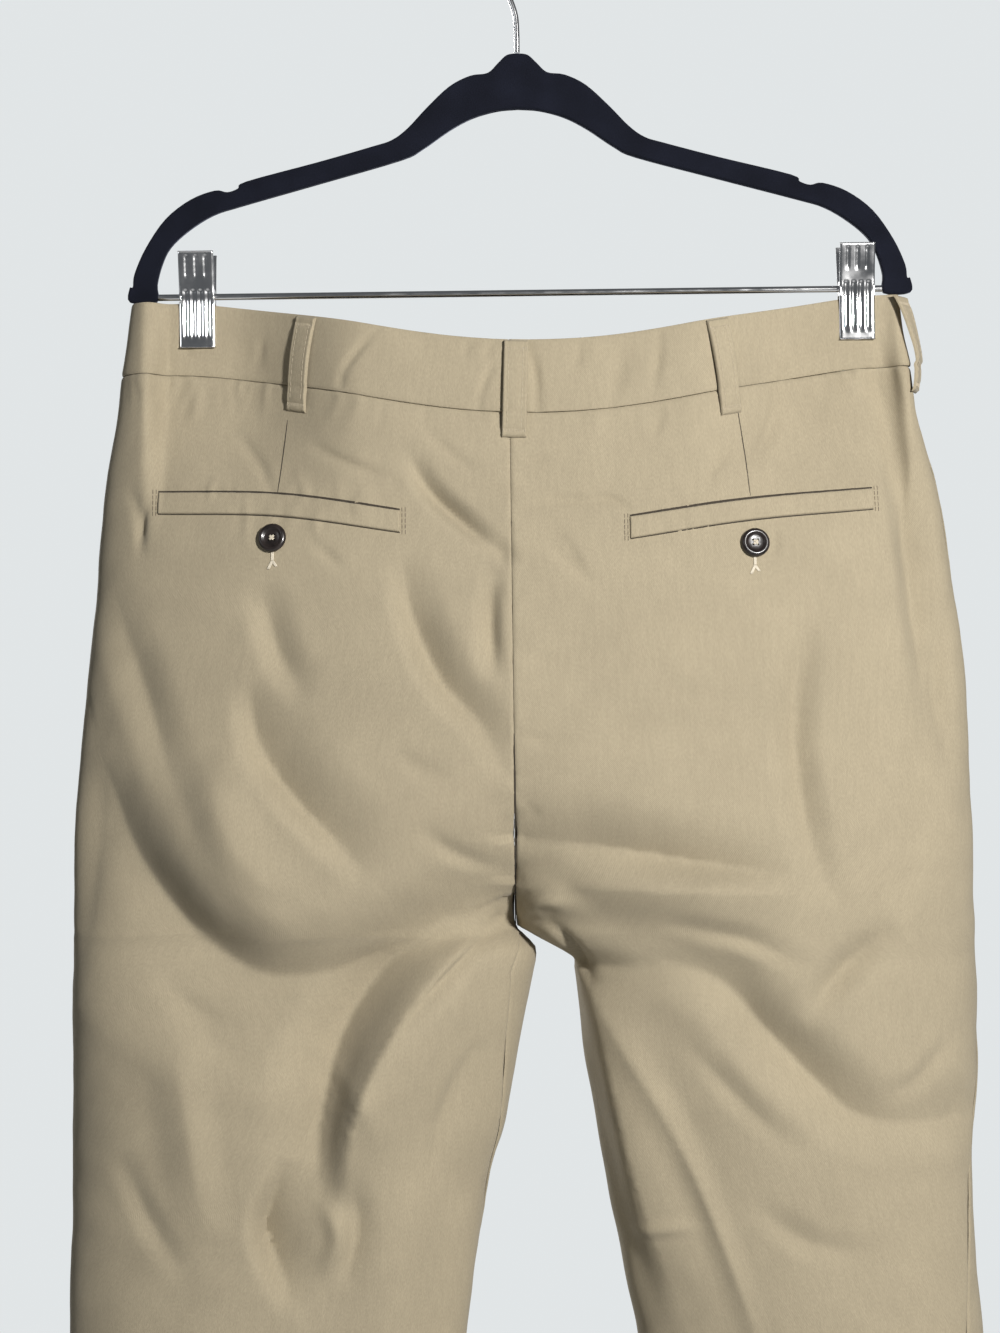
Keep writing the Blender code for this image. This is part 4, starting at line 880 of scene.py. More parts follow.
def make_band(name, side):
    """Half of the waistband: from the centre back round the side to the centre front."""
    tall = TOP_LEVEL - WAIST_LEVEL - JOIN_GAP
    levels = TOP_LEVEL - seam_shares(tall, BAND_SPACING) * tall
    _, seat_inner, front_inner = seam_turns(side, levels)
    turns, across, level, plain, normal = cloth_grid(side, levels, seat_inner, front_inner, BAND_SPACING)
    edge = np.minimum(levels[0] - levels, levels - levels[-1])[:, None]
    away = np.minimum(across, across[:, -1:] - across)
    lift = fold_lift(side, turns, plain) + BAND_PROUD
    lift += small_lift(side, turns, plain, BAND_CREASES, (), 1)
    lift += rumple(across, level, 70 + side) * 0.8
    lift += seam_roll(away) - BAND_ROUND * np.clip(1 - edge / BAND_ROUND_WIDE, 0, 1) ** 2
    lift += BAND_SWELL * np.sin(math.pi * (levels[0] - levels) / tall)[:, None]
    outer = hold_side(plain + normal * lift[..., None], side)
    thick = BAND_CLOTH - 2 * BAND_ROUND * np.clip(1 - edge / BAND_ROUND_WIDE, 0, 1) ** 2
    inner = hold_side(outer - normal * thick[..., None], side)
    return sewn(name, outer, inner)


# ---------------------------------------------------------------- what lies on the cloth


def search_tree(grids):
    """A search tree over the cloth's outer grids."""
    points = []
    faces = []
    start = 0
    for grid in grids:
        rows, columns = grid.shape[:2]
        faces.append(grid_faces(rows, columns) + start)
        points.append(grid.reshape(-1, 3))
        start += rows * columns
    return BVHTree.FromPolygons(np.concatenate(points).tolist(), np.concatenate(faces).tolist())


def land(tree, x, z, facing):
    """Where a line along Y from outside meets the cloth. It steps aside where it falls into a seam."""
    for aside in LAND_STEPS:
        start = Vector((x + aside * MM, -facing, z))
        hit = tree.ray_cast(start, Vector((0, facing, 0)))[0]
        if hit is not None and -facing * hit.y > -FAR_SIDE:
            return (x, hit.y, z)
    return land(tree, x, z - LAND_DROP, facing) if z > HEM_LEVEL else (x, 0, z)


def between(first_edge, second_edge, along, across):
    """Places (x, z) on a grid between two edges' runs, by shares along and across."""
    edges = []
    for run in (first_edge, second_edge):
        points = run_points(run)
        far = run_lengths(points)
        edges.append(at_lengths(along * far[-1], far, points))
    return edges[0][None] * (1 - across)[:, None, None] + edges[1][None] * across[:, None, None]


def laid(tree, places, facing):
    """(points, normals) of a grid of places (x, z) on the cloth."""
    base = np.array([[land(tree, x, z, facing) for x, z in row] for row in places])
    return base, grid_normals(base, np.array([0, -facing, 0.0]))


def edge_distance(grid):
    """How far each point of a grid lies from the nearest edge."""
    found = []
    for axis in (0, 1):
        step = np.linalg.norm(np.diff(grid, axis=axis), axis=-1)
        far = np.cumsum(step, axis=axis)
        zero = np.zeros_like(far[:1] if axis == 0 else far[:, :1])
        far = np.concatenate([zero, far], axis=axis)
        found += [far, far.max(axis=axis, keepdims=True) - far]
    return np.min(found, axis=0)


def rounded(away, thick):
    """A strip's thickness: full inside, and round at its edges."""
    q = np.clip(1 - away / EDGE_ROUND, 0, 1)
    return thick * (0.3 + 0.7 * np.sqrt(1 - q**2))


def lay_strip(name, tree, places, facing, thick):
    """A strip of cloth sewn on the cloth below it, in place of its solid. Returns its outer grid."""
    base, normal = laid(tree, places, facing)
    inner = base + normal * LAID_GAP
    outer = inner + normal * rounded(edge_distance(base), thick)[..., None]
    return sewn(name, outer, inner)


def edged(count):
    """Shares across a narrow strip, with more of them near its edges."""
    return (1 - np.cos(math.pi * np.linspace(0, 1, count))) / 2


def ribbon(name, tree, run, wide, facing, lift=0.03):
    """A dark strip a little above the cloth: painted shade standing in for the shadow in a narrow slit or seam ditch.
    """
    points = run_points(run)
    far = run_lengths(points)
    points = at_lengths(np.linspace(0, far[-1], round(far[-1] / RIBBON_STEP) + 1), far, points)
    legs = np.gradient(points, axis=0)
    side = np.stack([-legs[:, 1], legs[:, 0]], axis=-1)
    side /= np.linalg.norm(side, axis=1, keepdims=True)
    ends = np.sin(math.pi * np.linspace(0.04, 0.96, len(points))) ** 0.25
    offset = side * (wide * MM / 2) * ends[:, None]
    base, normal = laid(tree, np.stack([points + offset * s for s in (-1, -0.5, 0, 0.5, 1)]), facing)
    return shell(name, base + normal * lift * MM, base + normal * (lift * MM - RIBBON_THICK), "shade")


def stitched(tree, run, facing, lift=THREAD * 0.4):
    """Stitches along a run of places (x, z), just above the cloth."""
    points = run_points(run)
    far = run_lengths(points)
    count = max(2, round(far[-1] / STITCH_STEP) + 1)
    places = at_lengths(np.linspace(0, far[-1], count), far, points)
    base = np.array([land(tree, x, z, facing) for x, z in places])
    along = np.gradient(base, axis=0)
    normal = np.cross(np.cross(along, [0, -facing, 0.0]), along)
    normal /= np.linalg.norm(normal, axis=1, keepdims=True)
    return stitch_pairs(base + normal * lift, normal)


def stitch_pairs(points, normals):
    """Stitches along a run of points, one from each point most of the way to the next."""
    first = points[:-1]
    last = first + (points[1:] - first) * (STITCH / STITCH_STEP)
    return list(zip(first, last, normals[:-1]))


def thread_mesh(name, pairs, radius=THREAD, finish="thread"):
    """All of one piece's stitches, each a short round-ended thread."""
    first, last, up = (np.array(column) for column in zip(*pairs))
    along = last - first
    length = np.linalg.norm(along, axis=1, keepdims=True)
    along /= length
    side = np.cross(along, up)
    side /= np.linalg.norm(side, axis=1, keepdims=True)
    up = np.cross(side, along)
    points = [first]
    for share, size in THREAD_RINGS:
        middle = first + along * length * share
        for k in range(6):
            angle = math.pi * k / 3
            points.append(middle + (side * math.cos(angle) + up * math.sin(angle)) * radius * size)
    points.append(last)
    points = np.stack(points, axis=1)
    faces = []
    for k in range(6):
        n = (k + 1) % 6
        faces.append((0, 1 + n, 1 + k))
        for ring in (1, 7, 13):
            faces.append((ring + k, ring + n, ring + 6 + n, ring + 6 + k))
        faces.append((19 + k, 19 + n, 25))
    every = [tuple(i + 26 * s for i in face) for s in range(len(pairs)) for face in faces]
    mesh = bpy.data.meshes.new(name)
    mesh.from_pydata(points.reshape(-1, 3).tolist(), [], every)
    mesh.shade_smooth()
    return add_piece(name, mesh, finish)


def make_welt(tree, side, word):
    """A back pocket's welt, with painted shade strips for the shadow in its mouth above it and for the shadow line
    below.
    """
    top, bottom = WELTS[side]
    places = between(top, bottom, seam_shares(137 * MM, 1.6), edged(13))
    lay_strip(f"pocket_welt_{word}", tree, places, 1, WELT_THICK)
    above = tuple((x, z + SLIT_WIDE / 2 - 0.1) for x, z in top)
    below = tuple((x, z - 0.25) for x, z in bottom)
    # Painted shade: a dark strip for the shadow in the pocket's mouth, and one for the shadow line under the welt.
    ribbon(f"pocket_mouth_shade_{word}", tree, above, SLIT_WIDE, 1, 0.12)
    ribbon(f"pocket_shade_{word}", tree, below, 0.8, 1, 0.06)
    pairs = []
    for end, outward in ((0, 1), (-1, -1)):
        x_top, z_top = top[end]
        x_low, z_low = bottom[end]
        for step in (1.2, 3.0):
            out = side * outward * step
            run = ((x_top + out, z_top + 1.8), (x_top + out, (z_top + z_low) / 2), (x_low + out, z_low - 1.8))
            pairs += stitched(tree, run, 1)
    thread_mesh(f"pocket_ends_{word}", pairs, finish="dark thread")


def make_pocket_edge(tree, side, word):
    """The slanted front pocket's folded edge with its two lines of stitching."""
    corners = np.array(POCKET_EDGES[side], float)
    first, second = (
        tuple(map(tuple, (corners[a], (corners[a] + corners[b]) / 2, corners[b]))) for a, b in ((0, 3), (1, 2))
    )
    places = between(first, second, seam_shares(160 * MM, 2.2), edged(11))
    lay_strip(f"front_pocket_edge_{word}", tree, places, -1, TRIM_CLOTH)
    pairs = []
    for step in (1.5, 6.0):
        run = tuple((x - side * step, z) for x, z in (second if side < 0 else first))
        pairs += stitched(tree, run, -1)
    thread_mesh(f"front_pocket_stitches_{word}", pairs)


def make_fly(tree):
    """The fly placket and its J-shaped line of stitching."""
    places = between(*FLY_EDGES, seam_shares(200 * MM, 2.2), edged(24))
    outer = lay_strip("fly_placket", tree, places, -1, TRIM_CLOTH)
    thread_mesh("fly_stitches", stitched(search_tree([outer]), FLY_STITCHES, -1))


def make_tab():
    """The left band's buttoned end, which laps over the right band at the centre front."""
    tall = TOP_LEVEL - WAIST_LEVEL - JOIN_GAP
    levels = TOP_LEVEL - seam_shares(tall, BAND_SPACING) * tall
    offsets = -2 * LAP + seam_shares(3 * LAP, BAND_SPACING) * 3 * LAP
    grid = np.zeros((len(levels), len(offsets), 3))
    normals = np.zeros_like(grid)
    for column, offset in enumerate(offsets):
        side = -1 if offset < 0 else 1
        centre, half = half_ring(side, levels)
        turn = -np.arccos((abs(offset) - centre) / half)
        place = plain_form(side, turn, levels)
        normals[:, column] = form_normal(side, turn, levels)
        grid[:, column] = place + normals[:, column] * fold_lift(side, turn, place)[:, None]
    inner = grid + normals * (BAND_PROUD + BAND_SWELL + LAID_GAP)
    outer = inner + normals * rounded(edge_distance(grid), BAND_CLOTH)[..., None]
    return sewn("waist_tab", outer, inner)


def loop_base(tree, side, turn, levels, offsets):
    """(places across a loop on the form, normals, how high the cloth stands under each row)."""
    middle = plain_form(side, turn, levels)
    across = plain_form(side, turn + TURN_STEP / 2, levels) - plain_form(side, turn - TURN_STEP / 2, levels)
    across /= np.linalg.norm(across, axis=-1, keepdims=True)
    normal = form_normal(side, turn, levels)
    flat = middle[:, None] + across[:, None] * offsets[None, :, None]
    under = []
    for row, n in zip(flat[:, ::2], normal):
        hits = [tree.ray_cast(Vector(place + n * PROBE), Vector(-n))[0] for place in row]
        heights = [float(np.dot(np.array(hit) - place, n)) for hit, place in zip(hits, row) if hit is not None]
        under.append(max([h for h in heights if abs(h) < PROBE], default=0.0))
    return flat, normal, np.array(under)


def make_loop(tree, name, side, turn_at, stand_off):
    """A belt loop: a folded strip over the band, tacked down near its two ends. Returns its stitches."""
    levels = np.arange(LOOP_TOP, LOOP_END - 0.1, -LOOP_STEP) * MM
    offsets = (seam_shares(LOOP_WIDE, 1.4) - 0.5) * LOOP_WIDE
    flat, normal, under = loop_base(tree, side, turn_at(levels), levels, offsets)
    share = (levels - levels[0]) / (levels[-1] - levels[0])
    under = np.convolve(np.pad(under, 2, mode="edge"), np.ones(5) / 5, mode="valid").clip(under)
    lift = under + LAID_GAP + stand_off * MM * np.sin(math.pi * share) ** 0.7
    tack = sum(np.exp(-(((share - place) / TACK_TALL) ** 2)) for place in TACKS)
    ends = np.minimum(share, 1 - share) * (levels[0] - levels[-1])
    edge = np.minimum(ends[:, None], (LOOP_WIDE / 2 - np.abs(offsets))[None])
    thick = rounded(edge, LOOP_THICK) * (1 - 0.32 * tack)[:, None]
    ridge = SEWN_DEEP * np.exp(-(((np.abs(offsets) - LOOP_WIDE * SEWN_AT) / SEWN_WIDE) ** 2))
    inner = flat + normal[:, None] * lift[:, None, None]
    outer = inner + normal[:, None] * (thick - ridge[None])[..., None]
    return loop_stitches(sewn(name, outer, inner), offsets, share)


def loop_stitches(outer, offsets, share):
    """Two lines of stitching down a loop and a bar of dense stitches near each end."""
    middle = outer.mean(axis=(0, 1))
    normals = grid_normals(outer, np.array([middle[0] * 0.15, middle[1], 0]))
    pairs = []
    for across in (-SEWN_AT, SEWN_AT):
        column = int(np.abs(offsets - across * LOOP_WIDE).argmin())
        far = run_lengths(outer[:, column])
        wanted = np.arange(5.5 * MM, far[-1] - 4 * MM, STITCH_STEP)
        up = at_lengths(wanted, far, normals[:, column])
        pairs += stitch_pairs(at_lengths(wanted, far, outer[:, column]) + up * THREAD * 0.3, up)
    for place in TACKS:
        row = int(np.abs(share - place).argmin())
        for k in np.linspace(-0.44, 0.44, 15):
            column = int(np.abs(offsets - k * LOOP_WIDE).argmin())
            up = normals[row, column]
            down = outer[row + 1, column] - outer[row - 1, column]
            down *= TACK_STITCH / np.linalg.norm(down)
            aside = (outer[row, -1] - outer[row, 0]) / LOOP_WIDE * (k * LOOP_WIDE - offsets[column])
            spot = outer[row, column] + aside + up * THREAD * 0.6
            pairs.append((spot - down, spot + down, up))
    return pairs


def make_loops(grids):
    """All belt loops, and their stitches as one piece."""
    tree = search_tree(grids)
    pairs = []
    for name, side, top, end, facing, stand_off in LOOPS:

        def turn_at(levels, side=side, top=top, end=end, facing=facing):
            share = (levels - levels[0]) / (levels[-1] - levels[0])
            centre, half = half_ring(side, levels)
            return facing * np.arccos(((top + (end - top) * share) * MM - centre) / half)

        pairs += make_loop(tree, name, side, turn_at, stand_off)
    for name, side, degrees, stand_off in SIDE_LOOPS:

        def turn_at(levels, turn=math.radians(degrees)):
            return np.full(len(levels), turn)

        pairs += make_loop(tree, name, side, turn_at, stand_off)
    thread_mesh("loop_stitches", pairs)


def button_disc(name, radius):
    """A button's mesh, turned from its profile and drilled with four holes."""
    disc = bmesh.new()
    previous = None
    for out, up in BUTTON_PROFILE[1:-1]:
        loop = []
        for k in range(BUTTON_STEPS):
            angle = 2 * math.pi * k / BUTTON_STEPS
            place = (out * radius * math.cos(angle), out * radius * math.sin(angle), up * BUTTON_THICK)
            loop.append(disc.verts.new(place))
        if previous:
            for k in range(BUTTON_STEPS):
                after = (k + 1) % BUTTON_STEPS
                disc.faces.new((previous[k], loop[k], loop[after], previous[after]))
        else:
            disc.faces.new(loop)
        previous = loop
    disc.faces.new(previous[::-1])
    bmesh.ops.recalc_face_normals(disc, faces=disc.faces)
    holes = bmesh.new()
    for k in range(4):
        angle = math.pi / 4 + math.pi / 2 * k
        spot = Matrix.Translation((HOLE_OUT * math.cos(angle), HOLE_OUT * math.sin(angle), BUTTON_THICK / 2))
        bmesh.ops.create_cone(
            holes, cap_ends=True, segments=20, radius1=HOLE_RADIUS, radius2=HOLE_RADIUS, depth=8 * MM, matrix=spot
        )
    made = []
    for part, shape in (("whole", disc), ("drill", holes)):
        mesh = bpy.data.meshes.new(f"{name}_{part}")
        shape.to_mesh(mesh)
        shape.free()
        made.append(bpy.data.objects.new(part, mesh))
        bpy.context.scene.collection.objects.link(made[-1])
    cut = made[0].modifiers.new("holes", "BOOLEAN")
    cut.operation = "DIFFERENCE"
    cut.object = made[1]
    return evaluated(made)


def evaluated(holders):
    """The first holder's final mesh. All of them are removed."""
    bpy.context.view_layer.update()
    mesh = bpy.data.meshes.new_from_object(holders[0].evaluated_get(bpy.context.evaluated_depsgraph_get()))
    for holder in holders:
        bpy.data.objects.remove(holder)
    return mesh


def make_button(name, tree, place, across, facing):
    """A four-hole button with a raised rim, lying on the cloth, and its crossed threads."""
    x, z = place[0] * MM, place[1] * MM
    radius = across / 2
    spots = []
    for angle in np.arange(0, 6.28, 0.26):
        aside = 0.8 * radius * math.cos(angle)
        spots.append(land(tree, x + aside, z + 0.8 * radius * math.sin(angle), facing))
    spots = np.array(spots)
    centre = spots.mean(axis=0)
    normal = np.linalg.svd(spots - centre)[2][2]
    normal *= np.sign(-facing * normal[1])
    base = centre + normal * (max((spots - centre) @ normal) + 0.1 * MM)
    place_at = Matrix.Translation(base) @ Vector(normal).to_track_quat("Z", "Y").to_matrix().to_4x4()
    drilled = button_disc(name, radius)
    drilled.transform(place_at)
    drilled.shade_smooth()
    drilled.set_sharp_from_angle(angle=math.radians(50))
    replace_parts(add_piece(name + "_fine", drilled, "horn"), name)
    pairs = []
    high = BUTTON_PROFILE[0][1] * BUTTON_THICK + THREAD
    reach = HOLE_OUT * math.cos(math.pi / 4)
    for aside in (-0.28 * MM, 0.0, 0.28 * MM):
        for start in (-reach, reach):
            lean = aside if start < 0 else -aside
            first = place_at @ Vector((-reach + aside, start - lean, high))
            last = place_at @ Vector((reach + aside, -start - lean, high))
            pairs.append((np.array(first), np.array(last), normal))
    thread_mesh(name + "_thread", pairs, 0.24 * MM, "button thread")


def buttonhole_tail(name, tree, place, facing):
    """The thread-bound end of the buttonhole, which shows below its button."""
    pairs = []
    out = np.array([0, -facing, 0.0])
    for x1, z1, x2, z2 in BUTTONHOLE_TAIL:
        for aside in (-0.45, 0, 0.45):
            ends = []
            for x, z in ((x1, z1), (x2, z2)):
                spot = land(tree, (place[0] + x + aside) * MM, (place[1] + z) * MM, facing)
                ends.append(np.array(spot) + out * 0.25 * MM)
            pairs.append((*ends, out))
    thread_mesh(name, pairs, 0.42 * MM, "button thread")


# ---------------------------------------------------------------- the hanger


def add_run(curve, places, closed):
    run = curve.splines.new("POLY")
    run.points.add(len(places) - 1)
    for point, place in zip(run.points, places):
        point.co = (*place, 1)
    run.use_cyclic_u = closed
    run.use_smooth = True


def from_curve(name, curve, finish, place):
    """A piece from a curve's mesh, moved to its place."""
    holder = bpy.data.objects.new(name + "_curve", curve)
    bpy.context.scene.collection.objects.link(holder)
    mesh = evaluated([holder])
    mesh.transform(place)
    mesh.shade_smooth()
    mesh.set_sharp_from_angle(angle=math.radians(40))
    mesh.materials.clear()
    return add_piece(name, mesh, finish)


def wire(name, points, radius, resolution=5):
    """A plated wire of this radius through points."""
    curve = bpy.data.curves.new(name, "CURVE")
    curve.dimensions = "3D"
    curve.bevel_depth = radius
    curve.bevel_resolution = resolution
    curve.use_fill_caps = True
    add_run(curve, points, False)
    return from_curve(name, curve, "chrome", Matrix.Identity(4))


def plate(name, rings, thick, edge, finish, place, resolution=None):
    """A flat plate between closed rings, round at its edges."""
    curve = bpy.data.curves.new(name, "CURVE")
    curve.dimensions = "2D"
    curve.fill_mode = "BOTH"
    curve.extrude = thick / 2 - edge
    curve.bevel_depth = edge
    if resolution:
        curve.bevel_resolution = resolution
    curve.offset = -edge
    for ring in rings:
        add_run(curve, [(x, y, 0) for x, y in ring], True)
    return from_curve(name, curve, finish, place)


def circle(radius, angles):
    return [(radius * math.cos(angle), radius * math.sin(angle)) for angle in angles]


def make_bow():
    """The velvet bow, with its outline smoothed between the source's points and a round edge."""
    right = [*run_points(BOW, 4)[:-1], np.array(BOW[-1]) * MM]
    outline = right + [np.array((-x, z)) for x, z in reversed(right[1:-1])]
    stand = Matrix.Rotation(math.pi / 2, 4, "X")
    piece = plate("hanger_body_velvet", [outline], HANGER_THICK, 1.4 * MM, "velvet", stand, 3)
    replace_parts(piece, "hanger_body")


def make_hook():
    centre = HOOK_WIRE - HOOK_RADIUS
    points = [(x, 0, z) for x, z in run_points(STEM, 6)]
    angles = np.radians(np.arange(HOOK_START, HOOK_END - 0.1, -3.0))
    points += [(x, 0, centre + z) for x, z in circle(HOOK_RADIUS, angles)]
    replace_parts(wire("hanger_hook_wire", points, HOOK_WIRE), "hanger_hook")


def make_rod():
    ends = [(x, 0, ROD_LEVEL) for x in np.linspace(-ROD_HALF + SEAM_GAP, ROD_HALF - SEAM_GAP, 9)]
    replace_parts(wire("hanger_rod_fine", ends, ROD_RADIUS, 8), "hanger_rod")


def make_spring(name, x):
    """The clip's coil on the rod, between the jaws' ears."""
    shares = np.linspace(0, 1, COIL_TURNS * 20 + 1)
    rings = circle(COIL_RADIUS, 2 * math.pi * COIL_TURNS * shares)
    points = [(x + (2 * share - 1) * COIL_HALF, y, ROD_LEVEL + z) for share, (z, y) in zip(shares, rings)]
    wire(name, points, COIL_WIRE / 2, 3)


def jaw_relief(across, up):
    """Dimples on a jaw's upper part and flutes on its lower part."""
    lift = np.zeros(np.broadcast(across, up).shape)
    for x in DIMPLES["across"]:
        for z in DIMPLES["up"]:
            far = np.hypot(across - x * MM, up - z * MM) / (DIMPLES["wide"] * MM)
            lift += DIMPLES["deep"] * MM * np.clip(1 - far**2, 0, 1)
    fade = 2 * MM
    inside = smooth_step((FLUTES["from"] * MM - up) / fade) * smooth_step((up - FLUTES["to"] * MM) / fade)
    for x in FLUTES["across"]:
        far = np.abs(across - x * MM) / (FLUTES["wide"] * MM)
        lift += FLUTES["deep"] * MM * np.clip(1 - far**2, 0, 1) * inside
    return lift


def make_jaw(name, x, facing):
    """A clip's pressed sheet jaw: its face with dimples and flutes, and two ears round the rod."""
    face = run_points(JAW, 12)
    across = np.linspace(-0.5, 0.5, 41) * JAW_WIDE
    legs = np.gradient(face, axis=0)
    legs /= np.linalg.norm(legs, axis=1, keepdims=True)
    out = np.stack([-legs[:, 1], legs[:, 0]], axis=-1)
    out *= np.sign(out[:, 0].mean())
    edge = np.clip(1 - (JAW_WIDE / 2 - np.abs(across)) / (1.3 * MM), 0, 1)
    ends = np.clip(1 - np.minimum(face[:, 1] - face[-1, 1], face[0, 1] - face[:, 1]) / (1.0 * MM), 0, 1)
    lift = jaw_relief(across[None], face[:, 1:]) - JAW_ROUND * (edge[None] ** 2 + ends[:, None] ** 2)

    def sheet(profile):
        sides = np.broadcast_to(x + facing * across, lift.shape)
        profile = np.broadcast_to(profile, (*lift.shape, 2))
        return np.stack([sides, -facing * profile[..., 0], ROD_LEVEL + profile[..., 1]], axis=-1)

    outer = sheet(face[:, None] + out[:, None] * lift[..., None])
    inner = sheet((face - out * JAW_SHEET)[:, None])
    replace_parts(shell(name + "_sheet", outer, inner, "chrome", math.radians(60)), name)
    for end, word in ((-1, "outer"), (1, "inner")):
        make_ear(f"{name}_{word}_ear", x + end * (JAW_WIDE / 2 - EAR_INSET[facing]), facing)


def make_ear(name, x, facing):
    """A round-ended plate from a jaw to the rod, bored for it."""
    outline = [(-EAR_FOOT, -EAR_RADIUS), (-EAR_FOOT, EAR_RADIUS)]
    outline += [(y * EAR_NOSE, z) for y, z in circle(EAR_RADIUS, np.linspace(1.57, -1.57, 24))]
    bore = circle(ROD_RADIUS + SEAM_GAP, np.linspace(0, 6.28, 24, endpoint=False))
    rings = [[(z, facing * y) for y, z in ring] for ring in (outline, bore)]
    flip = Matrix.Scale(-1, 4, (1, 0, 0))
    place = Matrix.Translation((x, 0, ROD_LEVEL)) @ Matrix.Rotation(math.pi / 2, 4, "Y") @ flip
    plate(name, rings, EAR_SHEET, 0.12 * MM, "chrome", place)


# ---------------------------------------------------------------- finishes


def new_finish(name, colour, roughness, **more):
    """A material with a Principled shader. Returns (material, shader, node tree)."""
    made = bpy.data.materials.new(name)
    made.use_nodes = True
    shader = made.node_tree.nodes["Principled BSDF"]
    shader.inputs["Base Color"].default_value = (*colour, 1)
    shader.inputs["Roughness"].default_value = roughness
    for key, value in more.items():
        shader.inputs[key.replace("_", " ")].default_value = value
    return made, shader, made.node_tree


def object_place(tree):
    return tree.nodes.new("ShaderNodeTexCoord").outputs["Object"]


def noise(tree, scale, detail, coordinate, stretch=None):
    """A noise texture on a coordinate, in waves per metre."""
    made = tree.nodes.new("ShaderNodeTexNoise")
    made.inputs["Scale"].default_value = scale
    made.inputs["Detail"].default_value = detail
    if stretch:
        mapping = tree.nodes.new("ShaderNodeMapping")
        mapping.inputs["Rotation"].default_value = (0, 0, stretch[0])
        mapping.inputs["Scale"].default_value = (stretch[1], stretch[2], 1)
        tree.links.new(coordinate, mapping.inputs["Vector"])
        coordinate = mapping.outputs["Vector"]
    tree.links.new(coordinate, made.inputs["Vector"])
    return made.outputs["Fac"]


def ranged(tree, value, low, high, low_to, high_to):
    """A value moved from one range to another."""
    made = tree.nodes.new("ShaderNodeMapRange")
    tree.links.new(value, made.inputs["Value"])
    for key, number in (("From Min", low), ("From Max", high), ("To Min", low_to), ("To Max", high_to)):
        made.inputs[key].default_value = number
    return made.outputs["Result"]


def product(tree, first, second, operation="MULTIPLY"):
    made = tree.nodes.new("ShaderNodeMath")
    made.operation = operation
    tree.links.new(first, made.inputs[0])
    tree.links.new(second, made.inputs[1])
    return made.outputs["Value"]


def tint(tree, shader, colour, value):
    """The shader's colour scaled by a value."""
    made = tree.nodes.new("ShaderNodeVectorMath")
    made.operation = "SCALE"
    made.inputs[0].default_value = colour
    tree.links.new(value, made.inputs["Scale"])
    tree.links.new(made.outputs["Vector"], shader.inputs["Base Color"])


def bump(tree, shader, height, distance, strength):
    made = tree.nodes.new("ShaderNodeBump")
    made.inputs["Strength"].default_value = strength
    made.inputs["Distance"].default_value = distance
    tree.links.new(height, made.inputs["Height"])
    tree.links.new(made.outputs["Normal"], shader.inputs["Normal"])


def twill_finish():
    """Washed cotton twill: fine slanted ribs, uneven yarns and a faintly uneven tone."""
    made, shader, tree = new_finish("khaki_twill", KHAKI, 0.92, Sheen_Weight=0.12, Sheen_Roughness=0.5)
    shader.inputs["Specular IOR Level"].default_value = 0.25
    weave = tree.nodes.new("ShaderNodeUVMap")
    weave.uv_map = "weave"
    weave = weave.outputs["UV"]
    ribs = tree.nodes.new("ShaderNodeTexWave")
    ribs.bands_direction = "DIAGONAL"
    ribs.inputs["Scale"].default_value = 2 * math.pi / (14.14 * TWILL_STEP)
    ribs.inputs["Distortion"].default_value = 1.2
    ribs.inputs["Detail"].default_value = 1
    tree.links.new(weave, ribs.inputs["Vector"])
    yarn = noise(tree, 1500, 3, weave, (math.radians(45), 1.0, 0.35))
    slub = noise(tree, 420, 2, weave, (0, 1.0, 0.16))
    blotch = noise(tree, 26, 4, weave)
    tone = ranged(tree, yarn, 0.3, 0.7, 0.90, 1.10)
    tone = product(tree, tone, ranged(tree, slub, 0.3, 0.7, 0.965, 1.035))
    tone = product(tree, tone, ranged(tree, blotch, 0.3, 0.7, 0.96, 1.04))
    tone = product(tree, tone, ranged(tree, ribs.outputs["Fac"], 0, 1, 0.965, 1.03))
    tint(tree, shader, KHAKI, tone)
    bump(tree, shader, product(tree, ribs.outputs["Fac"], yarn, "ADD"), 0.10 * MM, 0.6)
    return made


def grained_finish(name, colour, roughness, grain, spread, tones, **more):
    """A finish whose tone follows a noise. grain is its scale, detail and stretch; spread is its range."""
    made, shader, tree = new_finish(name, colour, roughness, **more)
    fine = noise(tree, grain[0], grain[1], object_place(tree), *grain[2:])
    tint(tree, shader, colour, ranged(tree, fine, *spread, *tones))
    return made


def thread_finish(name, colour):
    return grained_finish(name, colour, 0.8, (2600, 2), (0.3, 0.7), (0.82, 1.15), Sheen_Weight=0.1)


def velvet_finish():
    """Flocked plastic: blue-black, with light caught at the pile's edge."""
    made, shader, tree = new_finish("velvet", VELVET, 0.95, Sheen_Weight=0.35, Sheen_Roughness=0.35)
    shader.inputs["Sheen Tint"].default_value = (0.55, 0.6, 0.8, 1)
    shader.inputs["Specular IOR Level"].default_value = 0.15
    place = object_place(tree)
    pile = noise(tree, 2200, 2, place)
    brushed = ranged(tree, noise(tree, 40, 3, place), 0.3, 0.7, 0.8, 1.3)
    tint(tree, shader, VELVET, product(tree, ranged(tree, pile, 0.3, 0.7, 0.6, 1.5), brushed))
    bump(tree, shader, pile, 0.12 * MM, 0.7)
    return made


def chrome_finish():
    made, shader, tree = new_finish("plated_steel", CHROME, 0.14, Metallic=1.0)
    smear = noise(tree, 90, 3, object_place(tree))
    tree.links.new(ranged(tree, smear, 0.3, 0.7, 0.10, 0.24), shader.inputs["Roughness"])
    return made


KHAKI = (0.338, 0.288, 0.200)
HORN = (0.014, 0.010, 0.009)
VELVET = (0.0055, 0.0065, 0.012)
CHROME = (0.93, 0.93, 0.94)
FLOOR = (0.50, 0.51, 0.515)
# Painted shade: the colour of the dark strips laid in slits and seam ditches.
SHADE = (0.045, 0.036, 0.026)
TWILL_STEP = 0.75 * MM

